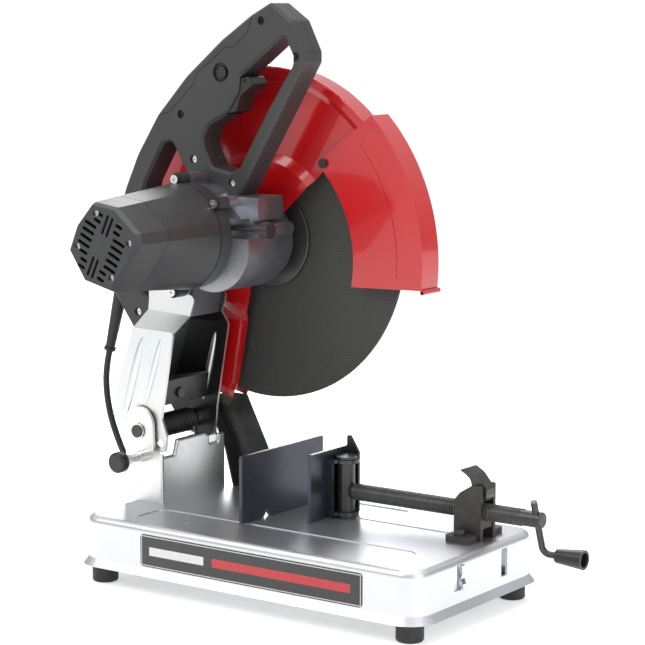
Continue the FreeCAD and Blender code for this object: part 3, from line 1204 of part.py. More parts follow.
def switch_block():
    return block(-151.8, -145.5, 33.2, 56.8, 492.2, 515.8)


def spindle_lock():
    """Plunger with a fluted knob that stops the spindle while the wheel is changed."""
    y = SPINDLE_LOCK_Y
    z = SPINDLE_Z + SPINDLE_LOCK_RISE
    start = SPINDLE_X + 63
    pin = rod_x(y, z, 2.5, SPINDLE_X + 17, start)
    neck = rod_x(y, z, 4.5, start - 8, start)
    knob = rod_x(y, z, 9.0, start, start + 11)
    for n in range(10):
        angle = math.radians(36 * n)
        knob = knob.cut(rod_x(y + 10 * math.cos(angle), z + 10 * math.sin(angle), 2.0, start - 1, start + 12))
    return join([pin, neck, knob])


# ================================================================ guards
def guard_screw_places():
    return [(SPINDLE_X + 34 * math.cos(math.radians(a)), SPINDLE_Z + 34 * math.sin(math.radians(a)))
            for a in (100, 190, 235)]


def fixed_guard():
    """Pressed guard: dished centre on the gearbox, stepped wall, rim, far lip and rear chute."""
    sheet = GUARD_SHEET
    near = [(12, COVER_FACE, 0), (GUARD_DISH_RADIUS, COVER_FACE, 2), (GUARD_CONE_RADIUS, GUARD_NEAR, 2),
            (GUARD_STEP_RADIUS, GUARD_NEAR, 1), (GUARD_STEP_RADIUS + 6, GUARD_RIM_NEAR, 1),
            (GUARD_RADIUS, GUARD_RIM_NEAR, 2.5), (GUARD_RADIUS, GUARD_FAR, 2.5), (105, GUARD_FAR, 0),
            (105, GUARD_FAR - sheet, 0), (GUARD_RADIUS - sheet, GUARD_FAR - sheet, 1),
            (GUARD_RADIUS - sheet, GUARD_RIM_NEAR + sheet, 1), (GUARD_STEP_RADIUS + 6.5, GUARD_RIM_NEAR + sheet, 0.5),
            (GUARD_STEP_RADIUS + 0.5, GUARD_NEAR + sheet, 0.5), (GUARD_CONE_RADIUS - 0.7, GUARD_NEAR + sheet, 0.5),
            (GUARD_DISH_RADIUS - 0.7, COVER_FACE + sheet, 0.5), (12, COVER_FACE + sheet, 0)]
    shell = spun(near, 262 - GUARD_FRONT_ANGLE, GUARD_FRONT_ANGLE)
    wide = 40
    ahead = slab_xz([(-133, 312, 0), (-143, 264, 0), (-156, 196, 0), (-164, 175, 0), (-164, 100, 0), (60, 100, 0),
                     (60, 312, 0)], COVER_FACE - wide, GUARD_FAR + wide)
    below = slab_xz([(-100, 158, 0), (-164, 175, 0), (-222, 190, 0), (-330, 220, 0), (-330, 90, 0), (-100, 90, 0)],
                    COVER_FACE - wide, GUARD_FAR + wide)
    shell = shell.cut(ahead).cut(below)
    shell = shell.cut(block(-222, -130, GUARD_NEAR + sheet, GUARD_FAR - sheet, 120, 190))
    shell = shell.cut(rod_y(SPINDLE_X, SPINDLE_Z, 21.5, 70, GUARD_FAR - 5))
    for x, z in guard_screw_places():
        shell = shell.cut(rod_y(x, z, 2.7, 70, 95))
    for y0, y1 in ((70, GUARD_NEAR + 6), (GUARD_FAR - 6, GUARD_FAR + 6)):
        shell = shell.cut(rod_y(GUARD_BOLT_X, GUARD_BOLT_Z, GUARD_BOLT_RADIUS, y0, y1))
    return shell


def guard_screws():
    return Part.makeCompound([pan_screw(x, COVER_FACE + GUARD_SHEET, z, ALONG_Y * -1, 2.5, 12)
                              for x, z in guard_screw_places()])


def guard_pivot_bolts():
    """Shoulder bolt and inner nut on each side of the guard."""
    pieces = []
    near_out = GUARD_RIM_NEAR - FRONT_GUARD_GAP - GUARD_SHEET - 0.3
    far_out = GUARD_FAR + FRONT_GUARD_GAP + GUARD_SHEET + 0.3
    near_in = GUARD_NEAR + GUARD_SHEET
    far_in = GUARD_FAR - GUARD_SHEET
    x, z, r = GUARD_BOLT_X, GUARD_BOLT_Z, GUARD_BOLT_RADIUS
    pieces.append(join([rod_y(x, z, r * 1.7, near_out - 3, near_out), rod_y(x, z, r, near_out - 1, near_in + 3)]))
    pieces.append(tube_y(x, z, r * 1.7, r, near_in, near_in + 3))
    pieces.append(join([rod_y(x, z, r * 1.7, far_out, far_out + 3), rod_y(x, z, r, far_in - 3, far_out + 1)]))
    pieces.append(tube_y(x, z, r * 1.7, r, far_in - 3, far_in))
    return Part.makeCompound(pieces)


def on_front_guard(radius, degrees):
    angle = math.radians(degrees)
    return FRONT_GUARD_X + radius * math.cos(angle), FRONT_GUARD_Z + radius * math.sin(angle)


def guard_segment(inner, outer, low, high, y0, y1):
    """Part of a flat ring about the front guard's centre."""
    def spot(radius, degrees):
        x, z = on_front_guard(radius, degrees)
        return at(x, y0, z)

    middle = (low + high) / 2
    edges = [Part.Arc(spot(outer, low), spot(outer, middle), spot(outer, high)).toShape(),
             Part.LineSegment(spot(outer, high), spot(inner, high)).toShape(),
             Part.Arc(spot(inner, high), spot(inner, middle), spot(inner, low)).toShape(),
             Part.LineSegment(spot(inner, low), spot(outer, low)).toShape()]
    return Part.Face(Part.Wire(edges)).extrude(at(0, y1 - y0, 0))


def front_guard_wall(y0, y1):
    """Side view: straight upper edge, outer arc, lower edge and inner arc up to the bolt."""
    outer, inner = FRONT_GUARD_RADIUS, FRONT_GUARD_INNER
    corners = {"top": on_front_guard(outer, 45.0), "low": on_front_guard(outer, -6.2),
               "heel": on_front_guard(inner, -11.3), "neck": on_front_guard(inner, 43.5)}
    middle_out = on_front_guard(outer, 19.4)
    middle_in = on_front_guard(inner, 16.1)

    def spot(pair):
        return at(pair[0], y0, pair[1])

    ear = (GUARD_BOLT_X - 8, GUARD_BOLT_Z + 1.5)
    edges = [Part.LineSegment(spot(ear), spot(corners["top"])).toShape(),
             Part.Arc(spot(corners["top"]), spot(middle_out), spot(corners["low"])).toShape(),
             Part.LineSegment(spot(corners["low"]), spot(corners["heel"])).toShape(),
             Part.Arc(spot(corners["heel"]), spot(middle_in), spot(corners["neck"])).toShape(),
             Part.LineSegment(spot(corners["neck"]), spot(ear)).toShape()]
    return Part.Face(Part.Wire(edges)).extrude(at(0, y1 - y0, 0))


def front_guard():
    """Hinged front guard outside the fixed one: two walls, a rim and a rolled lower end."""
    near = GUARD_RIM_NEAR - FRONT_GUARD_GAP - GUARD_SHEET
    far = GUARD_FAR + FRONT_GUARD_GAP + GUARD_SHEET
    sheet = GUARD_SHEET
    outer = FRONT_GUARD_RADIUS
    x, z = on_front_guard(outer + 1.6, -6.6)
    pieces = [front_guard_wall(near, near + sheet), front_guard_wall(far - sheet, far),
              guard_segment(outer - sheet, outer, -6.2, 45.0, near, far),
              rod_y(x, z, 2.8, near, far)]
    guard = join(pieces)
    guard = guard.cut(guard_segment(BEAD_RADIUS - BEAD_WIDTH / 2, BEAD_RADIUS + BEAD_WIDTH / 2, -4, 41,
                                    near - 1, near + 0.6))
    guard = guard.cut(rod_y(x, z, 1.6, near - 1, far + 1))
    return guard.cut(rod_y(GUARD_BOLT_X, GUARD_BOLT_Z, GUARD_BOLT_RADIUS + 0.15, near - 1, far + 1))


# ================================================================ mains cord
CORD_FLOOR = CORD_DIAMETER / 2
COIL_LINE = COIL_X + (COIL_OUTER - CORD_FLOOR)
COIL_STUB = 27.0
CORD_ROUTE = [(-308.08, 45, 220.7), (-313.6, 45, 199.7), (-313.5, 45, 172), (-306, 43, 145), (-293, 40, 121),
              (-276, 36, 97), (-260, 32, 69), (-249.5, 30, 40), (-247.5, COIL_Y - COIL_STUB - 48.5, 16.0),
              (COIL_LINE, COIL_Y - COIL_STUB - 25, CORD_FLOOR), (COIL_LINE, COIL_Y - COIL_STUB, CORD_FLOOR)]
TAIL_ROUTE = [(COIL_LINE, COIL_Y + COIL_STUB, 3 * CORD_FLOOR), (COIL_LINE, COIL_Y + COIL_STUB + 22, 3 * CORD_FLOOR),
              (PLUG_X, COIL_Y + COIL_STUB + 45, 9.0), (PLUG_X, COIL_Y + COIL_STUB + 67, 9.0)]


def cord_tube(points):
    """Tube along straight runs with the largest tangent arcs that each corner's runs allow."""
    spots = [at(*point) for point in points]
    corners = [(spots[0], spots[0], None)]
    length = 0.0
    for index in range(1, len(spots) - 1):
        back = spots[index - 1] - spots[index]
        ahead = spots[index + 1] - spots[index]
        turn = math.pi - back.getAngle(ahead)
        reach = 0.45 * min(back.Length, ahead.Length)
        radius = reach / math.tan(turn / 2)
        print("cord arc radius", round(radius, 1))
        start = spots[index] + back.normalize() * reach
        end = spots[index] + ahead.normalize() * reach
        inward = (start + end) * 0.5 - spots[index]
        centre_distance = radius / math.cos(turn / 2)
        crown = spots[index] + inward.normalize() * (centre_distance - radius)
        corners.append((start, end, crown))
        length += radius * turn
    corners.append((spots[-1], spots[-1], None))
    edges = []
    for index, (start, end, crown) in enumerate(corners):
        if crown is not None:
            edges.append(Part.Arc(start, crown, end).toShape())
        if index + 1 < len(corners):
            edges.append(Part.LineSegment(end, corners[index + 1][0]).toShape())
            length += (corners[index + 1][0] - end).Length
    direction = spots[1] - spots[0]
    section = Part.Wire([Part.Circle(spots[0], direction, CORD_DIAMETER / 2).toShape()])
    tube = Part.Wire(edges).makePipeShell([section], True, False)
    expected = length * math.pi * CORD_DIAMETER ** 2 / 4
    print("cord length", round(length, 1), "volume", round(tube.Volume, 1), "expected", round(expected, 1))
    return tube


def power_cord():
    """The stretch from the handle to the coil, and the short tail from the coil to the plug."""
    return Part.makeCompound([cord_tube(CORD_ROUTE), cord_tube(TAIL_ROUTE)])


def cord_coil():
    """Outer shape of the wound length: a ring two turns wide, with the stubs in and out."""
    height = COIL_LAYERS * CORD_DIAMETER
    ring = rod_z(COIL_X, COIL_Y, COIL_OUTER, 0, height).cut(rod_z(COIL_X, COIL_Y, COIL_INNER, -1, height + 1))
    ring = ring.makeFillet(CORD_DIAMETER * 0.4, [edge for edge in ring.Edges if len(edge.Vertexes) == 1])
    pieces = [ring]
    for route, end, before in ((CORD_ROUTE, -1, -2), (TAIL_ROUTE, 0, 1)):
        tip = at(*route[end])
        direction = (tip - at(*route[before])).normalize()
        pieces.append(Part.makeCylinder(CORD_DIAMETER / 2, COIL_STUB, tip, direction))
    return join(pieces)


def strain_relief():
    """Tapered rubber sleeve where the cord leaves the handle's rear leg."""
    end = at(-308, HANDLE_MID, 221)
    start = at(-284, HANDLE_MID, 312)
    direction = end - start
    sleeve = Part.makeCone(8.5, 5.2, direction.Length, start, direction)
    collar = Part.makeCylinder(6.8, 3, end - direction.normalize() * 4, direction)
    body = sleeve.fuse(collar).removeSplitter()
    return body


def mains_plug():
    """Generic moulded three-pin plug lying on its back, with its pins."""
    low = 1.0
    body = slab_xy([(PLUG_X - 25, PLUG_Y + 22, 10), (PLUG_X - 25, PLUG_Y - 6, 8), (PLUG_X - 9, PLUG_Y - 16, 4),
                    (PLUG_X + 9, PLUG_Y - 16, 4), (PLUG_X + 25, PLUG_Y - 6, 8), (PLUG_X + 25, PLUG_Y + 22, 10)],
                   0, 18)
    edges = [edge for edge in body.Edges if edge.BoundBox.ZLength < 1e-3 and edge.BoundBox.ZMin > 17]
    body = body.makeFillet(2.0, edges)
    top = 18.0
    pins = [block(PLUG_X - 2, PLUG_X + 2, PLUG_Y + 8, PLUG_Y + 16, top - 4, top + 22)]
    for side in (-1, 1):
        x = PLUG_X + side * 11.1
        pins.append(block(x - 3.2, x + 3.2, PLUG_Y - 10, PLUG_Y - 6, top - 4, top + 17))
    for pin in pins:
        body = body.cut(pin)
    return Part.makeCompound([body] + pins)


NODES = [
    base_pan, rubber_feet, name_plate, spanner_clip, pivot_bracket, base_bolts, pivot_shaft, shaft_clips,
    return_spring, lock_boss, lock_pin, spark_deflector, fence_plate, fence_bolts, vice_body, vice_bolts,
    lever_pin, release_lever, vice_post, vice_jaw, threaded_rod, crank_rod, crank_grip, arm_channel,
    arm_bolts, arm_brace, arm_bushes, gearbox_housing, gearbox_cover, gearbox_screws, spindle,
    abrasive_wheel, inner_flange, outer_flange, wheel_bolt, drive_gear, armature, cooling_fan, bearings,
    motor_end_cap, end_cap_screws, motor_housing, motor_screws, stator, brush_holders, handle_shell_near,
    handle_shell_far, handle_screws, trigger, lock_button, switch_block, spindle_lock, fixed_guard,
    guard_screws, guard_pivot_bolts, front_guard, power_cord, cord_coil, strain_relief, mains_plug,
]

os.makedirs("parts", exist_ok=True)
for make in NODES:
    shape = make()
    name = make.__name__
    shape.exportStep("parts/" + name + ".step")
    box = shape.BoundBox
    state = "ok" if shape.isValid() and all(solid.isClosed() for solid in shape.Solids) else "BAD"
    print(f"{name:20s} {state} solids {len(shape.Solids)} volume {shape.Volume:12.1f}"
          f" x {box.XMin:.1f}..{box.XMax:.1f} y {box.YMin:.1f}..{box.YMax:.1f} z {box.ZMin:.1f}..{box.ZMax:.1f}")
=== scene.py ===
# %% [markdown]
# # An abrasive chop saw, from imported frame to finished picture
#
# The saw's hard parts arrive from the design program as closed solids that already
# sit in their right places. This lesson loads them as a frame, sets the camera, lays
# the mains cord, adds what only mesh work can show, such as the vice screw's thread and
# the pressed ribs of the arm, and then paints every part with a finish of its own.
# Everything is in metres, with +X to the crank, -Y to the motor and +Z up.

# %% Load the frame
import math

import bmesh
import bpy
from mathutils import Matrix, Vector


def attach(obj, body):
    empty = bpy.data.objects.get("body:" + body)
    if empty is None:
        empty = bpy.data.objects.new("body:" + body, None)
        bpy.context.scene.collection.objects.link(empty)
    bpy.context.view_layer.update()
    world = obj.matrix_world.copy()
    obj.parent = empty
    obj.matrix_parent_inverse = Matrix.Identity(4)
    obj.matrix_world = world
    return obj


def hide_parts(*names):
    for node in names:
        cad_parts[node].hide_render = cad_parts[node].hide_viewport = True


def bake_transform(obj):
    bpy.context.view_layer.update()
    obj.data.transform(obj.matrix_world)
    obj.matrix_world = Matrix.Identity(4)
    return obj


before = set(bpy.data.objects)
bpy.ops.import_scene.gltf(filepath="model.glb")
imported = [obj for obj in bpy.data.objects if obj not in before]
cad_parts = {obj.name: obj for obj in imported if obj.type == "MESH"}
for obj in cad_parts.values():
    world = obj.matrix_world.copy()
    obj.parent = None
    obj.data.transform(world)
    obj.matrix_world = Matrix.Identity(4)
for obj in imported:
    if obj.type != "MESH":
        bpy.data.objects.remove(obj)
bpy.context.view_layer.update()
MM = 0.001

# %% [markdown]
# ## The camera
#
# A long lens far away keeps the upright lines nearly parallel, which is how catalogue
# pictures of tools are taken. A small lens shift moves the picture without turning the
# camera, so the verticals stay vertical.

# %% Place the camera
CAMERA_TURN = math.radians(35.83)
CAMERA_RISE = math.radians(9.16)
CAMERA_DISTANCE = 2.3125
CAMERA_TARGET = Vector((0.0, 0.0, 0.25))

camera_data = bpy.data.cameras.new("camera")
camera_data.lens = 124.0
camera_data.sensor_width = 36.0
camera_data.shift_x = 0.0261
camera_data.shift_y = 0.0510
camera_data.clip_start = 0.05
camera_data.clip_end = 100.0
camera = bpy.data.objects.new("camera", camera_data)
bpy.context.scene.collection.objects.link(camera)
backwards = Vector((math.sin(CAMERA_TURN) * math.cos(CAMERA_RISE),
                    -math.cos(CAMERA_TURN) * math.cos(CAMERA_RISE),
                    math.sin(CAMERA_RISE)))
camera.location = CAMERA_TARGET + backwards * CAMERA_DISTANCE
camera.rotation_euler = (-backwards).to_track_quat("-Z", "Y").to_euler()
bpy.context.scene.camera = camera
print("camera at", [round(c, 3) for c in camera.location])

# %% [markdown]
# ## The mains cord
#
# A cord is one smooth line with a thickness. A NURBS curve needs only a few control
# points for that: it leaves the rubber sleeve, sags behind the base, runs along the
# floor into a neat coil and comes out to its plug. The coil is more points of the same
# line, seven turns laid two wide and four high.
#
# The cord's top hangs from the tilting head and the rest lies on the floor. It is
# turned into one plain mesh.

# %% Lay the cord
CORD_THICK = 7.5 * MM
CORD_DROP = [(-308.08, 45, 220.7), (-313.6, 45, 199.7), (-313.5, 45, 172), (-306, 43, 145),
             (-293, 40, 121), (-276, 36, 97), (-260, 32, 69), (-249.5, 30, 40),
             (-247.5, 42.5, 16.0), (-246.75, 66, 3.75), (-246.75, 91, 3.75)]
CORD_TAIL = [(-246.75, 145, 11.25), (-246.75, 167, 11.25), (-254, 190, 9.0), (-254, 212, 9.0)]
COIL_X = -288.0
COIL_Y = 118.0
TURN_PLACES = [(41.25, 3.75), (33.75, 3.75), (33.75, 11.25), (33.75, 18.75),
               (33.75, 26.25), (41.25, 26.25), (41.25, 18.75), (41.25, 11.25)]
POINTS_A_TURN = 16
CHANGE_SHARE = 0.3
ROUNDING = 1 / math.cos(math.pi / POINTS_A_TURN)


def coil_points():
    """Control points of the wound turns, each turn changing place in its last third."""
    points = []
    for step in range(POINTS_A_TURN * (len(TURN_PLACES) - 1) + 1):
        turn, part = divmod(step, POINTS_A_TURN)
        share = max(0.0, (part / POINTS_A_TURN - 1 + CHANGE_SHARE) / CHANGE_SHARE)
        share = share * share * (3 - 2 * share)
        here = TURN_PLACES[turn]
        after = TURN_PLACES[min(turn + 1, len(TURN_PLACES) - 1)]
        radius = (here[0] + (after[0] - here[0]) * share) * ROUNDING
        height = here[1] + (after[1] - here[1]) * share
        angle = 2 * math.pi * part / POINTS_A_TURN
        points.append((COIL_X + radius * math.cos(angle), COIL_Y + radius * math.sin(angle), height))
    return points


def smooth_line(name, points):
    """Curve object of one open spline through the control points, in metres."""
    curve = bpy.data.curves.new(name, "CURVE")
    curve.dimensions = "3D"
    curve.resolution_u = 6
    spline = curve.splines.new("NURBS")
    spline.points.add(len(points) - 1)
    for point, (x, y, z) in zip(spline.points, points):
        point.co = (x * MM, y * MM, z * MM, 1.0)
    spline.order_u = 3
    spline.use_endpoint_u = True
    made = bpy.data.objects.new(name, curve)
    bpy.context.scene.collection.objects.link(made)
    return made


def mesh_of(curve_object):
    """Mesh of a curve as it stands."""
    bpy.context.view_layer.update()
    seen = curve_object.evaluated_get(bpy.context.evaluated_depsgraph_get())
    return bpy.data.meshes.new_from_object(seen)


cord_points = CORD_DROP + coil_points() + CORD_TAIL
line = smooth_line("cord_line", cord_points)
cord_path = [vertex.co.copy() for vertex in mesh_of(line).vertices]
line.data.bevel_depth = CORD_THICK / 2
line.data.bevel_resolution = 3
line.data.use_fill_caps = True
mains_cord = bpy.data.objects.new("mains_cord", mesh_of(line))
bpy.context.scene.collection.objects.link(mains_cord)
bpy.data.objects.remove(line)
mains_cord.data.polygons.foreach_set("use_smooth", [True] * len(mains_cord.data.polygons))
cord_length = sum((b - a).length for a, b in zip(cord_path, cord_path[1:]))
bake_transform(mains_cord)
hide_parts("power_cord", "cord_coil")
print("cord:", round(cord_length, 3), "m in", len(cord_points), "control points")

# %% [markdown]
# ## A small workshop for mesh pieces
#
# Each new piece starts as a bmesh, is shaped by operators and then becomes an object
# that rides on one body. The helper also recalculates the normals, because a spin or a
# mirror can turn a shape inside out.

# %% Make a mesh piece
def new_piece(name, shape, body, smooth=True):
    """Object from a bmesh, welded, facing outwards and riding on its body."""
    bmesh.ops.remove_doubles(shape, verts=shape.verts, dist=0.01 * MM)
    bmesh.ops.recalc_face_normals(shape, faces=shape.faces)
    mesh = bpy.data.meshes.new(name)
    shape.to_mesh(mesh)
    shape.free()
    mesh.polygons.foreach_set("use_smooth", [smooth] * len(mesh.polygons))
    made = bpy.data.objects.new(name, mesh)
    bpy.context.scene.collection.objects.link(made)
    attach(made, body)
    print(name, "has", len(mesh.polygons), "faces")
    return made


# %% [markdown]
# ## The vice screw's thread
#
# A thread is a small trapezium that is turned about the screw while it moves along it.
# The spin operator does both at once: the angle goes round and dvec moves each step.
# The crest is narrower than the root, and the root sinks into the plain core.

# %% Cut the thread
SCREW_Y = 44.0 * MM
SCREW_Z = 101.5 * MM
THREAD_START = 34.0 * MM
THREAD_END = 238.0 * MM
THREAD_PITCH = 3.0 * MM
THREAD_STEPS = 20
ROOT_RADIUS = 8.0 * MM
CREST_RADIUS = 9.0 * MM
ROOT_HALF = 1.35 * MM
CREST_HALF = 0.45 * MM

thread = bmesh.new()
corners = [(-ROOT_HALF, ROOT_RADIUS), (-CREST_HALF, CREST_RADIUS),
           (CREST_HALF, CREST_RADIUS), (ROOT_HALF, ROOT_RADIUS)]
ring = [thread.verts.new((THREAD_START + along, SCREW_Y, SCREW_Z + out)) for along, out in corners]
tooth = thread.faces.new(ring)
turns = (THREAD_END - THREAD_START) / THREAD_PITCH
steps = round(turns * THREAD_STEPS)
bmesh.ops.spin(thread, geom=[tooth], cent=(0, SCREW_Y, SCREW_Z), axis=(1, 0, 0),
               dvec=(THREAD_PITCH / THREAD_STEPS, 0, 0), angle=2 * math.pi * steps / THREAD_STEPS,
               steps=steps, use_merge=False)
screw_thread = new_piece("screw_thread", thread, "screw", smooth=False)

# %% [markdown]
# ## Ribs pressed into the arm
#
# Long shallow swellings stiffen the arm's plates. A sphere stretched into a long
# ellipsoid and cut at the plate's face has the soft fading ends of a pressed rib.

# %% Press the ribs
def pressed_rib(shape, low, high, face, width, height):
    """Adds a rib between two (x, z) points, standing off the face y towards the height's sign."""
    middle = Vector(((low[0] + high[0]) / 2, face, (low[1] + high[1]) / 2)) * MM
    run = Vector((high[0] - low[0], 0, high[1] - low[1])) * MM
    lean = Matrix.Rotation(math.atan2(run.x, run.z), 4, "Y")
    size = Matrix.Diagonal((width / 2 * MM, abs(height) * MM, run.length / 2, 1.0))
    ball = bmesh.ops.create_uvsphere(shape, u_segments=24, v_segments=32, radius=1.0,
                                     matrix=Matrix.Translation(middle) @ lean @ size)
    parts = ball["verts"] + list({e for v in ball["verts"] for e in v.link_edges}) \
        + list({f for v in ball["verts"] for f in v.link_faces})
    outwards = math.copysign(1.0, height)
    cut = bmesh.ops.bisect_plane(shape, geom=parts, dist=1e-7, plane_co=(0, (face - 0.4 * outwards) * MM, 0),
                                 plane_no=(0, -outwards, 0), clear_outer=True)
    rim = [part for part in cut["geom_cut"] if isinstance(part, bmesh.types.BMEdge)]
    bmesh.ops.holes_fill(shape, edges=rim, sides=0)


ARM_NEAR_FACE = -22.0
ARM_FAR_INNER = 75.0
ribs = bmesh.new()
pressed_rib(ribs, (-231, 158), (-203, 254), ARM_NEAR_FACE, 10, -2.2)
pressed_rib(ribs, (-199, 180), (-177, 254), ARM_NEAR_FACE, 7, -2.0)
pressed_rib(ribs, (-196, 172), (-178, 250), ARM_FAR_INNER, 8, -3.0)
arm_ribs = new_piece("arm_ribs", ribs, "head")

# %% [markdown]
# ## A tie for the coil
#
# The wound cord is held by one soft strap. A flat rounded loop round the bundle, given a
# wall by solidify, is enough.

# %% Tie the coil
TIE_ANGLE = math.radians(180)
TIE_WIDTH = 12.0 * MM
TIE_WALL = 0.8 * MM
BUNDLE_RADIUS = 37.5
BUNDLE_HEIGHT = 15.2
CORNER_STEPS = 4
tie = bmesh.new()
bundle = Vector((COIL_X + BUNDLE_RADIUS * math.cos(TIE_ANGLE),
                 COIL_Y + BUNDLE_RADIUS * math.sin(TIE_ANGLE), BUNDLE_HEIGHT)) * MM
half_across = 7.9 * MM
half_high = 15.0 * MM
soft_corner = 3.2 * MM
hoop = []
for side_x, side_z, start in ((1, 1, 0), (-1, 1, 90), (-1, -1, 180), (1, -1, 270)):
    for part in range(CORNER_STEPS + 1):
        angle = math.radians(start + 90 / CORNER_STEPS * part)
        hoop.append(tie.verts.new((
            bundle.x + side_x * (half_across - soft_corner) + soft_corner * math.cos(angle),
            bundle.y - TIE_WIDTH / 2,
            bundle.z + side_z * (half_high - soft_corner) + soft_corner * math.sin(angle))))
hoop_edges = [tie.edges.new((a, b)) for a, b in zip(hoop, hoop[1:] + hoop[:1])]
drawn = bmesh.ops.extrude_edge_only(tie, edges=hoop_edges)
bmesh.ops.translate(tie, verts=[v for v in drawn["geom"] if isinstance(v, bmesh.types.BMVert)],
                    vec=(0, TIE_WIDTH, 0))
bmesh.ops.recalc_face_normals(tie, faces=tie.faces)
bmesh.ops.solidify(tie, geom=tie.faces, thickness=TIE_WALL)
coil_tie = new_piece("coil_tie", tie, "base", smooth=False)

# %% [markdown]
# ## Finishes as sums
#
# A finish is a small calculation on each point of a surface. Wrapping a node's socket in
# a class with its own plus, minus and times lets the calculation be written as one. All
# other nodes come from a single method, which takes the node's kind, its settings and
# what goes into its sockets.

# %% Write shader sums
class Signal:
    """The value of one socket, usable in sums."""

    def __init__(self, recipe, socket):
        self.recipe = recipe
        self.socket = socket

    def maths(self, operation, *values):
        return self.recipe.node("Math", {"operation": operation}, dict(enumerate(values)))

    def __add__(self, other):
        return self.maths("ADD", self, other)

    def __sub__(self, other):
        return self.maths("SUBTRACT", self, other)

    def __rsub__(self, other):
        return self.maths("SUBTRACT", other, self)

    def __mul__(self, other):
        return self.maths("MULTIPLY", self, other)

    __radd__ = __add__
    __rmul__ = __mul__

    def below(self, limit):
        return self.maths("LESS_THAN", self, limit)

    def above(self, limit):
        return self.maths("GREATER_THAN", self, limit)

    def near(self, value, reach):
        return self.maths("COMPARE", self, value, reach)


class Recipe:
    """A material that is put together node by node."""

    def __init__(self, name):
        self.material = bpy.data.materials.new(name)
        self.material.use_nodes = True
        self.tree = self.material.node_tree
        self.tree.nodes.clear()
        self.spot = self.node("TexCoord", output="Object")

    def node(self, kind, settings=None, inputs=None, output=0):
        made = self.tree.nodes.new("ShaderNode" + kind)
        for name, value in (settings or {}).items():
            setattr(made, name, value)
        for name, value in (inputs or {}).items():
            if isinstance(value, Signal):
                self.tree.links.new(value.socket, made.inputs[name])
            else:
                made.inputs[name].default_value = value
        return Signal(self, made.outputs[output])

    def axes(self):
        """The x, y and z of each point, in metres."""
        return [self.node("SeparateXYZ", inputs={0: self.spot}, output=n) for n in range(3)]

    def noise(self, size, detail=2.0, stretch=(1, 1, 1)):
        """Cloudy variation from 0 to 1 whose patches are about size metres wide."""
        scaled = self.node("Mapping", inputs={"Vector": self.spot, "Scale": [s / size for s in stretch]})
        return self.node("TexNoise", inputs={"Vector": scaled, "Scale": 1.0, "Detail": detail})

    def mixed(self, share, first, second):
        return self.node("Mix", {"data_type": "RGBA"}, {0: share, 6: first, 7: second}, output=2)

    def bump(self, height, distance, strength=1.0, under=None):
        sockets = {"Height": height, "Distance": distance, "Strength": strength}
        if under is not None:
            sockets["Normal"] = under
        return self.node("Bump", inputs=sockets)

    def along(self, points, reach):
        """1 on a line through (x, z) points given in millimetres, 0 away from it."""
        x, _, z = self.axes()
        total = None
        for (x0, z0), (x1, z1) in zip(points, points[1:]):
            run_x, run_z = (x1 - x0) * MM, (z1 - z0) * MM
            off_x, off_z = x - x0 * MM, z - z0 * MM
            share = (off_x * run_x + off_z * run_z) * (1 / (run_x ** 2 + run_z ** 2))
            share = share.maths("MINIMUM", share.maths("MAXIMUM", share, 0.0), 1.0)
            gap_x, gap_z = off_x - share * run_x, off_z - share * run_z
            hit = (gap_x * gap_x + gap_z * gap_z).below((reach * MM) ** 2)
            total = hit if total is None else total.maths("MAXIMUM", total, hit)
        return total

    def surface(self, colour, roughness, normal=None, **fixed):
        """Principled surface; fixed values are set on the shader itself."""
        sockets = {"Base Color": colour, "Roughness": roughness}
        sockets.update({name.replace("_", " "): value for name, value in fixed.items()})
        if normal is not None:
            sockets["Normal"] = normal
        shader = self.node("BsdfPrincipled", inputs=sockets)
        output = self.tree.nodes.new("ShaderNodeOutputMaterial")
        self.tree.links.new(shader.socket, output.inputs["Surface"])
        return self.material


def grey(level, tint=(1.0, 1.0, 1.0)):
    return (level * tint[0], level * tint[1], level * tint[2], 1.0)


print("shader tools ready")

# %% [markdown]
# ## Bare and plated metal
#
# Rolled sheet keeps a faint cloudiness and fine scratches along its length; zinc plating
# drifts between blue and straw. Cast parts have a pebbled skin. These differ in the size
# of the noise more than in colour, so one function makes most of them. The pan's silver
# is smoother than that. The arm's channel gets painted shade: the faces that look into it
# are painted nearly black in place of the shade and dark reflections there. So those two
# have a function each.

# %% Mix the metals
def metal(name, dark, light, roughness, patch, grain, depth, stretch=(1, 1, 1), metallic=1.0, **fixed):
    """Metal whose colour drifts over patches and whose grain shows in bump and gloss."""
    recipe = Recipe(name)
    drift = recipe.noise(patch)
    fine = recipe.noise(grain, 3.0, stretch)
    gloss = roughness + (fine - 0.5) * 0.18 + (drift - 0.5) * 0.10
    return recipe.surface(recipe.mixed(drift, dark, light), gloss, recipe.bump(fine, depth),
                          Metallic=metallic, **fixed)


ZINC_BLUE = (0.58, 0.64, 0.70, 1)
ZINC_STRAW = (0.80, 0.78, 0.70, 1)
# how far from the channel's middle a face that looks into the channel must sit before it gets painted shade
PAINTED_SHADE_REACH = 4 * MM


def pan_silver():
    """Smooth silver that drifts a little in tone."""
    recipe = Recipe("silver_sheet")
    drift = recipe.noise(0.12)
    colour = recipe.mixed(drift, (0.60, 0.62, 0.66, 1), (0.71, 0.72, 0.74, 1))
    return recipe.surface(colour, 0.38 + (drift - 0.5) * 0.06, Metallic=1.0)


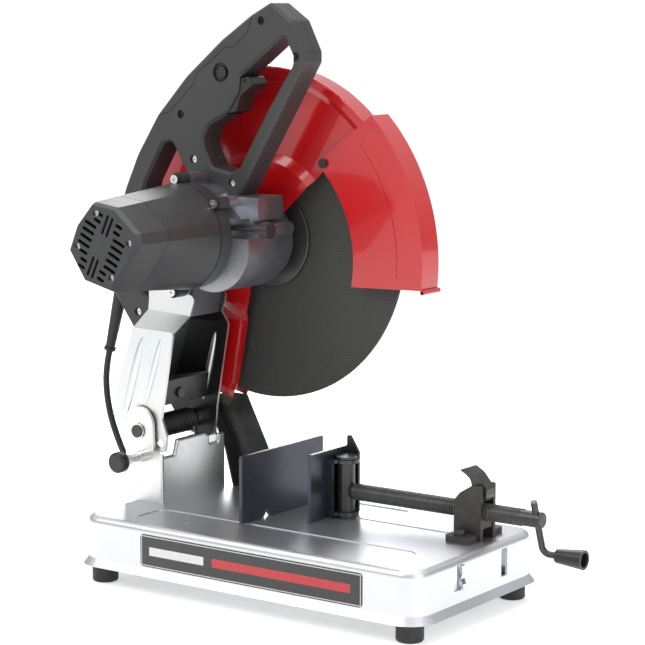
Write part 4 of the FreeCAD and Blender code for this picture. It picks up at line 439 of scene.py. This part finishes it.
def arm_zinc():
    """Zinc outside; the faces that look into the channel get painted shade, nearly black, in place of the
    shade and dark reflections inside it.
    """
    recipe = Recipe("arm_zinc")
    sides = [vertex.co.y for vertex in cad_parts["arm_channel"].data.vertices]
    middle = (min(sides) + max(sides)) / 2
    facing = recipe.node("SeparateXYZ", inputs={0: recipe.node("NewGeometry", output="Normal")}, output=1)
    # painted shade: faces that look into the channel are painted near black and made less metallic, standing
    # in for the shade and dark reflections inside it
    painted_channel_shade = (facing * (recipe.axes()[1] - middle)).below(-PAINTED_SHADE_REACH)
    drift = recipe.noise(0.06)
    colour = recipe.mixed(drift, ZINC_BLUE, ZINC_STRAW)
    return recipe.surface(recipe.mixed(painted_channel_shade, colour, grey(0.02)), 0.36 + (drift - 0.5) * 0.1,
                          Metallic=1 - painted_channel_shade * 0.5)


silver_sheet = pan_silver()
arm_sheet = arm_zinc()
zinc_sheet = metal("zinc_sheet", ZINC_BLUE, ZINC_STRAW, 0.36, 0.06, 0.003, 0.00005, stretch=(1, 1, 0.2))
bright_bolt = metal("bright_bolt", grey(0.66), grey(0.82), 0.22, 0.01, 0.001, 0.00001)
dark_steel = metal("dark_steel", grey(0.045), grey(0.085), 0.36, 0.02, 0.0012, 0.00003, metallic=0.7)
cast_alloy = metal("cast_alloy", (0.30, 0.31, 0.34, 1), (0.44, 0.45, 0.48, 1), 0.38, 0.02, 0.0009, 0.00012)
cast_dark = metal("cast_dark", (0.040, 0.036, 0.033, 1), (0.078, 0.072, 0.066, 1), 0.46, 0.015, 0.0012, 0.0003,
                  metallic=0.6)
gunmetal = metal("gunmetal", (0.042, 0.048, 0.060, 1), (0.080, 0.088, 0.105, 1), 0.30, 0.05, 0.0016, 0.00004,
                 metallic=0.75)
spring_black = metal("spring_black", grey(0.015), grey(0.04), 0.28, 0.01, 0.0008, 0.00002, metallic=0.5)
winding = metal("winding", (0.24, 0.13, 0.06, 1), (0.42, 0.22, 0.10, 1), 0.4, 0.01, 0.001, 0.0002)
print("metals mixed")

# %% [markdown]
# ## Gloss paint, plastic and rubber
#
# The guards are sprayed red: a coloured coat under clear gloss, with the faint orange
# peel of spray. Moulded plastic carries a fine spark-eroded grain that scatters light.
# Rubber is nearly black and quite dull.

# %% Mix paint, plastic and rubber
def moulded(name, dark, light, roughness, grain=0.0007, depth=0.00012, lines=None, **fixed):
    """Grained plastic. lines(recipe) gives a mask that is painted as a dark parting line."""
    recipe = Recipe(name)
    drift = recipe.noise(0.04)
    fine = recipe.noise(grain, 2.0)
    colour = recipe.mixed(drift, dark, light)
    gloss = roughness + (fine - 0.5) * 0.16
    if lines is not None:
        mask = lines(recipe)
        colour = recipe.mixed(mask, colour, grey(0.004))
        gloss = gloss + mask * 0.3
    return recipe.surface(colour, gloss, recipe.bump(fine, depth), **fixed)


def gloss_red():
    recipe = Recipe("gloss_red")
    peel = recipe.noise(0.004)
    drift = recipe.noise(0.12)
    colour = recipe.mixed(drift, (0.42, 0.002, 0.004, 1), (0.54, 0.005, 0.008, 1))
    return recipe.surface(colour, 0.26 + (peel - 0.5) * 0.06, recipe.bump(peel, 0.00004),
                          **{"Coat Weight": 0.8, "Coat Roughness": 0.06})


SHELL_SEAM = [(-234, 487), (-203, 495), (-169, 526), (-165, 537),
              (-125, 566), (-114, 566), (-96, 582), (-88, 602)]
SEAM_REACH = 0.55
SEAM_SIDE_END = 34.5 * MM
SHELLS_MEET = 45.0 * MM
SHELL_GAP = 0.35 * MM
END_CAP_MEETS = -105.0 * MM
END_CAP_GAP = 0.45 * MM
MOTOR_RING = -22.0 * MM
MOTOR_RING_GAP = 1.2 * MM


def handle_lines(recipe):
    _, y, _ = recipe.axes()
    seam = recipe.along(SHELL_SEAM, SEAM_REACH) * y.below(SEAM_SIDE_END)
    return y.maths("MAXIMUM", y.near(SHELLS_MEET, SHELL_GAP), seam)


def motor_lines(recipe):
    _, y, _ = recipe.axes()
    return y.maths("MAXIMUM", y.near(END_CAP_MEETS, END_CAP_GAP), y.near(MOTOR_RING, MOTOR_RING_GAP))


red_paint = gloss_red()
handle_grey = moulded("handle_grey", grey(0.028), grey(0.040), 0.50, lines=handle_lines)
motor_grey = moulded("motor_grey", grey(0.026, (0.97, 1, 1.05)), grey(0.036, (0.97, 1, 1.05)), 0.40,
                     lines=motor_lines)
black_plastic = moulded("black_plastic", grey(0.012), grey(0.022), 0.38)
rubber = moulded("rubber", grey(0.010), grey(0.020), 0.55, grain=0.0015, depth=0.0001)
print("paint, plastic and rubber mixed")

# %% [markdown]
# ## Finishes with a pattern
#
# Four parts need more than one tone. The wheel shows its woven glass mesh, the name plate
# a plain frame and two plain bands, the lock pin and the plug are steel or brass where
# they are not moulded, and three of the handle's screws are black.

# %% Mix the patterned finishes
MESH_PITCH = 3.2 * MM
PLATE_MIDDLE = (10.5 * MM, 46.75 * MM)
PLATE_HALF = (140.5 * MM, 17.25 * MM)
BORDER_FROM = 1.2 * MM
BORDER_TO = 2.1 * MM
PALE_BAND = (-82 * MM, 36 * MM)
RED_BAND = (51 * MM, 86 * MM)
BAND_HEIGHTS = (46.7 * MM, 4.5 * MM)
PIN_BARE_FROM = -65.5 * MM
PLUG_BARE_FROM = 18.1 * MM
BLACK_SCREWS_FROM = 470 * MM


def woven_grit():
    recipe = Recipe("woven_grit")
    x, _, z = recipe.axes()
    wave = 2 * math.pi / MESH_PITCH
    across = x.maths("SINE", x * wave)
    up = z.maths("SINE", z * wave)
    weave = x.maths("MAXIMUM", across, up) * 0.5 + 0.5
    grit = recipe.noise(0.0011, 3.0)
    shade = weave * 0.6 + grit * 0.5
    colour = recipe.mixed(shade, (0.012, 0.012, 0.011, 1), (0.055, 0.055, 0.050, 1))
    return recipe.surface(colour, 0.62 + (grit - 0.5) * 0.3, recipe.bump(shade, 0.0003))


def plain_plate():
    recipe = Recipe("plain_plate")
    x, _, z = recipe.axes()

    def inside(middle_x, half_x, middle_z, half_z):
        return x.near(middle_x, half_x) * z.near(middle_z, half_z)

    def framed(margin):
        return inside(PLATE_MIDDLE[0], PLATE_HALF[0] - margin, PLATE_MIDDLE[1], PLATE_HALF[1] - margin)

    border = framed(BORDER_FROM) - framed(BORDER_TO)
    colour = recipe.mixed(border, grey(0.004), grey(0.55))
    colour = recipe.mixed(inside(*PALE_BAND, *BAND_HEIGHTS), colour, grey(0.62))
    colour = recipe.mixed(inside(*RED_BAND, *BAND_HEIGHTS), colour, (0.44, 0.004, 0.006, 1))
    return recipe.surface(colour, 0.22 + recipe.noise(0.01) * 0.08, **{"Coat Weight": 0.5})


def two_tone(name, second, split, level, rough=0.32):
    """Black moulding that turns to bare metal past one level of one axis."""
    recipe = Recipe(name)
    beyond = recipe.axes()[split].above(level)
    fine = recipe.noise(0.0009)
    return recipe.surface(recipe.mixed(beyond, grey(0.014), second), rough + (fine - 0.5) * 0.2,
                          recipe.bump(fine, 0.00006), Metallic=beyond)


def handle_screw_finish():
    recipe = Recipe("handle_screw_finish")
    low = recipe.axes()[2].below(BLACK_SCREWS_FROM)
    fine = recipe.noise(0.0008)
    return recipe.surface(recipe.mixed(low, grey(0.01), grey(0.78)), 0.24 + (fine - 0.5) * 0.2,
                          Metallic=low * 0.98)


wheel_finish = woven_grit()
plate_finish = plain_plate()
pin_finish = two_tone("pin_finish", grey(0.74), 1, PIN_BARE_FROM)
plug_finish = two_tone("plug_finish", (0.72, 0.52, 0.22, 1), 2, PLUG_BARE_FROM)
screw_finish = handle_screw_finish()
print("patterned finishes mixed")

# %% [markdown]
# ## Painting every part
#
# Each part shows one finish and is listed with the name of a material slot. A part's
# imported material is replaced in its slots.

# %% Paint the parts
FINISHES = [
    (silver_sheet, "sheet_steel", ["base_pan"]),
    (zinc_sheet, "zinc_plate", ["pivot_bracket"]),
    (arm_sheet, "zinc_plate", ["arm_channel"]),
    (bright_bolt, "bolt_steel", [
        "base_bolts", "fence_bolts", "shaft_clips", "lock_boss",
        "arm_bolts", "arm_bushes", "gearbox_screws", "end_cap_screws", "motor_screws", "guard_screws",
        "wheel_bolt", "spindle", "drive_gear", "bearings", "spanner_clip"]),
    (dark_steel, "dark_steel", [
        "spark_deflector", "vice_post", "release_lever", "threaded_rod", "crank_rod", "inner_flange",
        "outer_flange", "guard_pivot_bolts", "vice_bolts", "lever_pin", "pivot_shaft", "arm_brace"]),
    (red_paint, "red_guard", ["fixed_guard", "front_guard"]),
    (cast_alloy, "cast_alloy", ["gearbox_housing", "gearbox_cover"]),
    (cast_dark, "cast_dark", ["vice_body"]),
    (gunmetal, "gunmetal", ["fence_plate", "vice_jaw"]),
    (motor_grey, "motor_plastic", ["motor_housing", "motor_end_cap"]),
    (handle_grey, "handle_plastic", ["handle_shell_near", "handle_shell_far"]),
    (black_plastic, "black_plastic", ["trigger", "lock_button", "crank_grip", "switch_block", "spindle_lock",
                                      "cooling_fan"]),
    (rubber, "rubber", ["rubber_feet", "strain_relief"]),
    (wheel_finish, "abrasive", ["abrasive_wheel"]),
    (plate_finish, "plate_label", ["name_plate"]),
    (winding, "copper_iron", ["armature", "stator", "brush_holders"]),
    (spring_black, "spring_steel", ["return_spring"]),
    (pin_finish, "black_plastic", ["lock_pin"]),
    (plug_finish, "black_plastic", ["mains_plug"]),
    (screw_finish, "bolt_steel", ["handle_screws"]),
]
for finish, slot, names in FINISHES:
    for name in names:
        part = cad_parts[name]
        part.data.materials.clear()
        part.data.materials.append(finish)
for piece, finish in ((mains_cord, rubber), (coil_tie, rubber), (screw_thread, dark_steel),
                      (arm_ribs, zinc_sheet)):
    piece.data.materials.append(finish)
print("painted", sum(len(names) for _, _, names in FINISHES), "parts")

# %% [markdown]
# ## Floor and light
#
# A wide pale floor runs out of sight. One large soft light from the upper left models the
# forms, a weaker one fills the right side and a strip from behind draws bright edges. The
# sky is white to the camera but shaded towards the ground for everything else, which
# gives the metals something to reflect.

# %% Build the studio
FLOOR_RADIUS = 12.0
FLOOR_GLOW = 0.40

floor_shape = bmesh.new()
bmesh.ops.create_circle(floor_shape, cap_ends=True, segments=96, radius=FLOOR_RADIUS)
floor_mesh = bpy.data.meshes.new("floor")
floor_shape.to_mesh(floor_mesh)
floor_shape.free()
floor = bpy.data.objects.new("floor", floor_mesh)
bpy.context.scene.collection.objects.link(floor)
floor_recipe = Recipe("pale_floor")
floor_mesh.materials.append(floor_recipe.surface(
    floor_recipe.mixed(floor_recipe.noise(1.5), grey(0.90), grey(0.93)), 0.7,
    **{"Emission Color": grey(1.0), "Emission Strength": FLOOR_GLOW}))


def soft_light(name, place, aim, width, height, power):
    data = bpy.data.lights.new(name, "AREA")
    data.shape = "RECTANGLE"
    data.size = width
    data.size_y = height
    data.energy = power
    lamp = bpy.data.objects.new(name, data)
    lamp.location = place
    lamp.rotation_euler = (Vector(aim) - Vector(place)).to_track_quat("-Z", "Y").to_euler()
    bpy.context.scene.collection.objects.link(lamp)


soft_light("key", (-0.9, -1.6, 1.9), (-0.05, 0, 0.3), 1.6, 1.2, 20)
soft_light("fill", (2.0, -0.6, 1.0), (0, 0, 0.25), 1.2, 1.6, 10)
soft_light("top", (0.1, 0.2, 2.2), (0, 0, 0.2), 1.8, 1.2, 17)
soft_light("rear_strip", (-1.2, 1.5, 1.3), (-0.05, 0, 0.35), 0.5, 1.8, 16)

world = bpy.data.worlds.new("studio")
bpy.context.scene.world = world
world.use_nodes = True
sky = world.node_tree
sky.nodes.clear()
up_and_down = sky.nodes.new("ShaderNodeSeparateXYZ")
sky.links.new(sky.nodes.new("ShaderNodeTexCoord").outputs["Generated"], up_and_down.inputs[0])
shade = sky.nodes.new("ShaderNodeValToRGB")
shade.color_ramp.elements[0].position = 0.0
shade.color_ramp.elements[0].color = grey(0.30)
shade.color_ramp.elements[1].position = 0.6
shade.color_ramp.elements[1].color = grey(0.85)
sky.links.new(up_and_down.outputs["Z"], shade.inputs["Fac"])
lit = sky.nodes.new("ShaderNodeBackground")
sky.links.new(shade.outputs["Color"], lit.inputs["Color"])
seen = sky.nodes.new("ShaderNodeBackground")
seen.inputs["Color"].default_value = grey(1.0)
choice = sky.nodes.new("ShaderNodeMixShader")
sky.links.new(sky.nodes.new("ShaderNodeLightPath").outputs["Is Camera Ray"], choice.inputs[0])
sky.links.new(lit.outputs[0], choice.inputs[1])
sky.links.new(seen.outputs[0], choice.inputs[2])
sky.links.new(choice.outputs[0], sky.nodes.new("ShaderNodeOutputWorld").inputs["Surface"])
bpy.context.scene.view_settings.view_transform = "Standard"
print("studio built")
